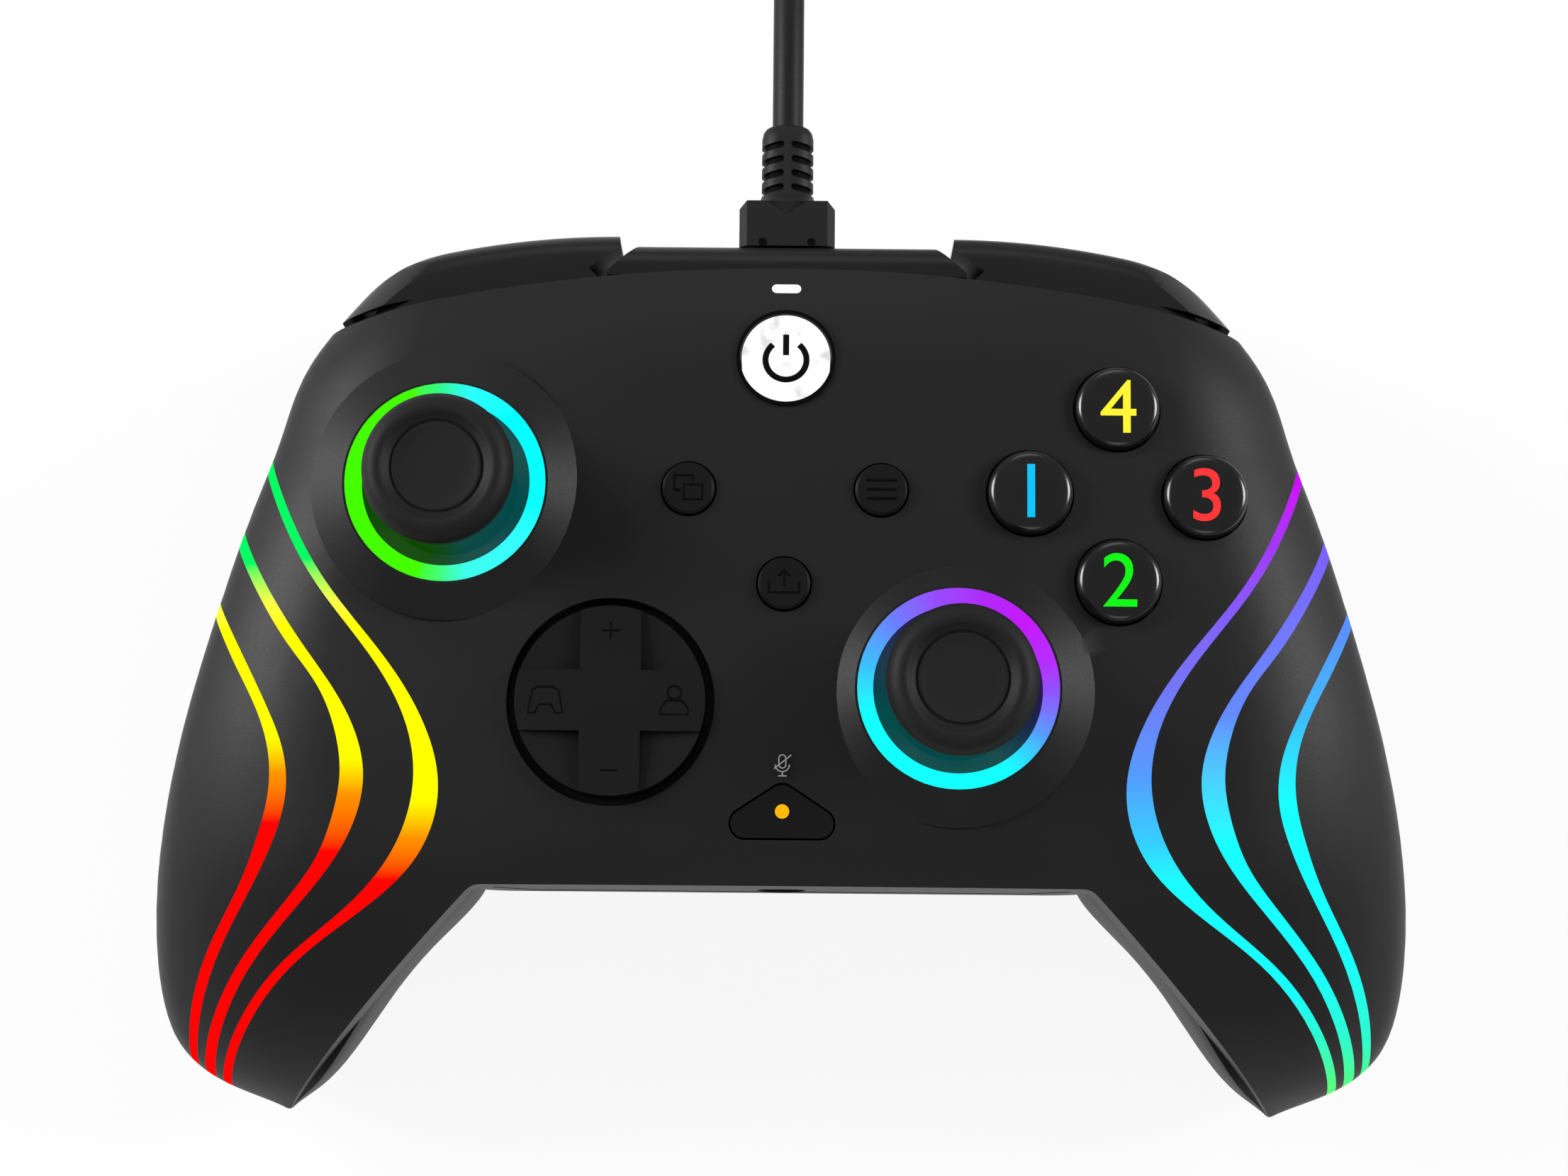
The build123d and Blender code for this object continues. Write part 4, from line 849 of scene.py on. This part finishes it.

# Marks pressed into the small buttons and the direction pad, drawn as near-black strokes: the shade in them
# is painted

small_marks = {
    "view": (
        [(-1.2, -0.2), (-1.2, 1.1), (0.4, 1.1), (0.4, 0.6)],
        [(-1.2, -0.2), (-0.7, -0.2)],
        [(-0.4, 0.3), (1.2, 0.3), (1.2, -1.0), (-0.4, -1.0), (-0.4, 0.3)],
    ),
    "menu": ([(-1.3, 0.8), (1.3, 0.8)], [(-1.3, 0.0), (1.3, 0.0)], [(-1.3, -0.8), (1.3, -0.8)]),
    "capture": (
        [(-1.3, 0.2), (-1.3, -0.8), (1.3, -0.8), (1.3, 0.2)],
        [(0.0, -0.3), (0.0, 1.1)],
        [(-0.5, 0.6), (0.0, 1.1), (0.5, 0.6)],
    ),
}
small_mark_scale = 1.4
small_mark_width = 0.38
for name, paths in small_marks.items():
    grown = [[(x * small_mark_scale, y * small_mark_scale) for x, y in path] for path in paths]
    mesh = strokes(name + "_mark", grown, small_mark_width, top_of(name + "_button"))
    piece(name + "_mark", mesh, print_and_painted_shade_black, name + "_button_body", 40)

dpad_middle = top_of("dpad_disc")


def on_dpad(paths, x, y, scale):
    """Marks of one width about a place on the direction pad."""
    return [[(px * scale + x, py * scale + y) for px, py in path] for path in paths]


plus_mark = ([(-0.55, 0), (0.55, 0)], [(0, -0.55), (0, 0.55)])
minus_mark = ([(-0.55, 0), (0.55, 0)],)
pad_mark = (
    [(-1.3, -1.0), (-1.0, 0.7), (-0.6, 0.95), (0.6, 0.95), (1.0, 0.7), (1.3, -1.0)]
    + [(0.8, -1.0), (0.45, -0.35), (-0.45, -0.35), (-0.8, -1.0), (-1.3, -1.0)],
)
person_mark = (
    ring_path(0, 0.65, 0.55),
    [(-1.1, -1.1), (-1.1, -0.6), (-0.6, 0.0), (0.6, 0.0), (1.1, -0.6), (1.1, -1.1), (-1.1, -1.1)],
)
dpad_mark_far = 8.4
dpad_mark_side = 7.7
dpad_mark_width = 0.28
plus_scale = 1.9
minus_scale = 1.8
pad_scale = 1.6
person_scale = 1.5
dpad_paths = on_dpad(plus_mark, 0, dpad_mark_far, plus_scale)
dpad_paths += on_dpad(minus_mark, 0, -dpad_mark_far, minus_scale)
dpad_paths += on_dpad(pad_mark, -dpad_mark_side, 0, pad_scale)
dpad_paths += on_dpad(person_mark, dpad_mark_side, 0, person_scale)
mesh = strokes("dpad_marks", dpad_paths, dpad_mark_width, dpad_middle)
piece("dpad_marks", mesh, print_and_painted_shade_black, "dpad", 40)

# Power symbol on the lit home button

home_low, home_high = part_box("home_button")
home_tilt = math.radians(-5)
home_shift = 0.18
home_drop = 0.44
power_width = 0.75
home_top = Vector((0, (home_low.y + home_high.y) / 2 + home_shift * mm, home_high.z - home_drop * mm))
power_paths = [ring_path(0, -0.3, 2.5, 130, 410, 10), [(0, 0.3), (0, 2.9)]]
mesh = strokes("power_mark", power_paths, power_width, home_top, home_tilt)
piece("power_mark", mesh, print_and_painted_shade_black, "home_button_body", 40)

# Muted microphone printed above the audio button

mute_paths = [
    ring_path(0, 0.75, 0.42, 0, 180, 20) + ring_path(0, 0.0, 0.42, 180, 360, 20) + [(0.42, 0.75)],
    ring_path(0, 0.0, 0.85, 180, 360, 20),
    [(0, -0.85), (0, -1.35)],
    [(-0.5, -1.35), (0.5, -1.35)],
    [(-1.0, -0.5), (1.05, 1.15)],
]
mute_width = 0.16
mute_place = (0, -12.9 * mm, 45.46 * mm)
mesh = strokes("mute_mark", mute_paths, mute_width, mute_place)
piece("mute_mark", mesh, mark_grey, "case", 0)

# Dimples on the top of the cable's connector, drawn as flat near-black discs: their shade is painted

dimple_profile = ((0.55, 0), (0.5, 0.02), (0, 0.02))
dimple_x = 3.05
dimple_y = 53.75
connector_top = 35.1
dimple_steps = 32
for side, sign in SIDES:
    dimple_name = side + "_connector_dimple"
    place = (sign * dimple_x * mm, dimple_y * mm, connector_top * mm)
    mesh = meshed(dimple_name, spun(dimple_profile, place, dimple_steps))
    piece(dimple_name, mesh, print_and_painted_shade_black, "case", 0)

# Table, daylight and camera

table_reach = 4.0
table_daylight = 0.9
table = bmesh.new()
bmesh.ops.create_grid(table, x_segments=1, y_segments=1, size=table_reach)
table_top = bpy.data.objects.new("table_top", meshed("table_top", table))
bpy.context.scene.collection.objects.link(table_top)
table_white = Finish("table_white", Base_Color=grey(238), Roughness=0.9, Specular_IOR_Level=0.0)
direct = table_white.node("ShaderNodeLightPath", output="Is Camera Ray")
glossy = table_white.node("ShaderNodeLightPath", output="Is Glossy Ray")
clear = table_white.node("ShaderNodeLightPath", output="Is Transmission Ray")
glow = table_white.node("ShaderNodeEmission", None, {"Color": grey(255), "Strength": 1.0})
table_nodes = table_white.tree.nodes
table_links = table_white.tree.links
table_end = next(node for node in table_nodes if node.type == "OUTPUT_MATERIAL")
table_mix = table_nodes.new("ShaderNodeMixShader")
table_white.feed(table_mix.inputs[0], (direct + glossy + clear) * table_daylight)
table_links.new(table_white.skin.outputs[0], table_mix.inputs[1])
table_links.new(glow.socket, table_mix.inputs[2])
table_links.new(table_mix.outputs[0], table_end.inputs["Surface"])
table_top.data.materials.append(table_white.material)

sky_seen = 1.0
sky_light = 0.27
sky = bpy.data.worlds.new("studio")
bpy.context.scene.world = sky
sky.use_nodes = True
sky_nodes = sky.node_tree.nodes
sky_links = sky.node_tree.links
sky_nodes.clear()


def backdrop(strength):
    """White all round, at one strength."""
    made = sky_nodes.new("ShaderNodeBackground")
    made.inputs["Color"].default_value = grey(255)
    made.inputs["Strength"].default_value = strength
    return made


light_path = sky_nodes.new("ShaderNodeLightPath")
seen = backdrop(sky_seen)
dim = backdrop(sky_light)
either = sky_nodes.new("ShaderNodeMath")
either.operation = "ADD"
sky_links.new(light_path.outputs["Is Camera Ray"], either.inputs[0])
sky_links.new(light_path.outputs["Is Transmission Ray"], either.inputs[1])
choose = sky_nodes.new("ShaderNodeMixShader")
sky_links.new(either.outputs[0], choose.inputs[0])
sky_links.new(dim.outputs[0], choose.inputs[1])
sky_links.new(seen.outputs[0], choose.inputs[2])
sky_end = sky_nodes.new("ShaderNodeOutputWorld")
sky_links.new(choose.outputs[0], sky_end.inputs["Surface"])


body_middle = (0, 0, 0.03)


def lamp(name, place, size, power):
    """A soft box that faces the middle of the pad."""
    data = bpy.data.lights.new(name, "AREA")
    data.shape = "DISK"
    data.size = size
    data.energy = power
    made = bpy.data.objects.new(name, data)
    bpy.context.scene.collection.objects.link(made)
    made.location = place
    made.rotation_mode = "QUATERNION"
    made.rotation_quaternion = (Vector(body_middle) - Vector(place)).to_track_quat("-Z", "Y")


lamp("left_box", (-0.80, 0.25, 0.45), size=0.5, power=10.0)
lamp("right_box", (0.80, 0.20, 0.45), size=0.4, power=7.0)
lamp("far_box", (0.0, 0.95, 0.75), size=0.6, power=1.5)
lamp("near_box", (0.1, -0.9, 0.9), size=0.6, power=1.2)

# The camera looks down from the player's side, nearly straight

camera_place = (0, -0.0506, 0.4426)
camera_tilt = math.radians(8.45)
camera_roll = math.radians(0.5)
view = bpy.data.cameras.new("camera")
view.sensor_width = 36.0
view.lens = 76.69
view.clip_start = 0.01
view.clip_end = 20.0
camera = bpy.data.objects.new("camera", view)
bpy.context.scene.collection.objects.link(camera)
forward = Vector((0, math.sin(camera_tilt), -math.cos(camera_tilt)))
upward = Vector((0, math.cos(camera_tilt), math.sin(camera_tilt)))
across = Vector((1, 0, 0))
level = across * math.cos(camera_roll) + upward * math.sin(camera_roll)
upward = upward * math.cos(camera_roll) - across * math.sin(camera_roll)
turn = Matrix((level, upward, -forward)).transposed()
camera.rotation_mode = "QUATERNION"
camera.rotation_quaternion = turn.to_quaternion()
camera.location = camera_place
bpy.context.scene.camera = camera
bpy.context.scene.view_settings.view_transform = "Standard"

bpy.context.view_layer.update()
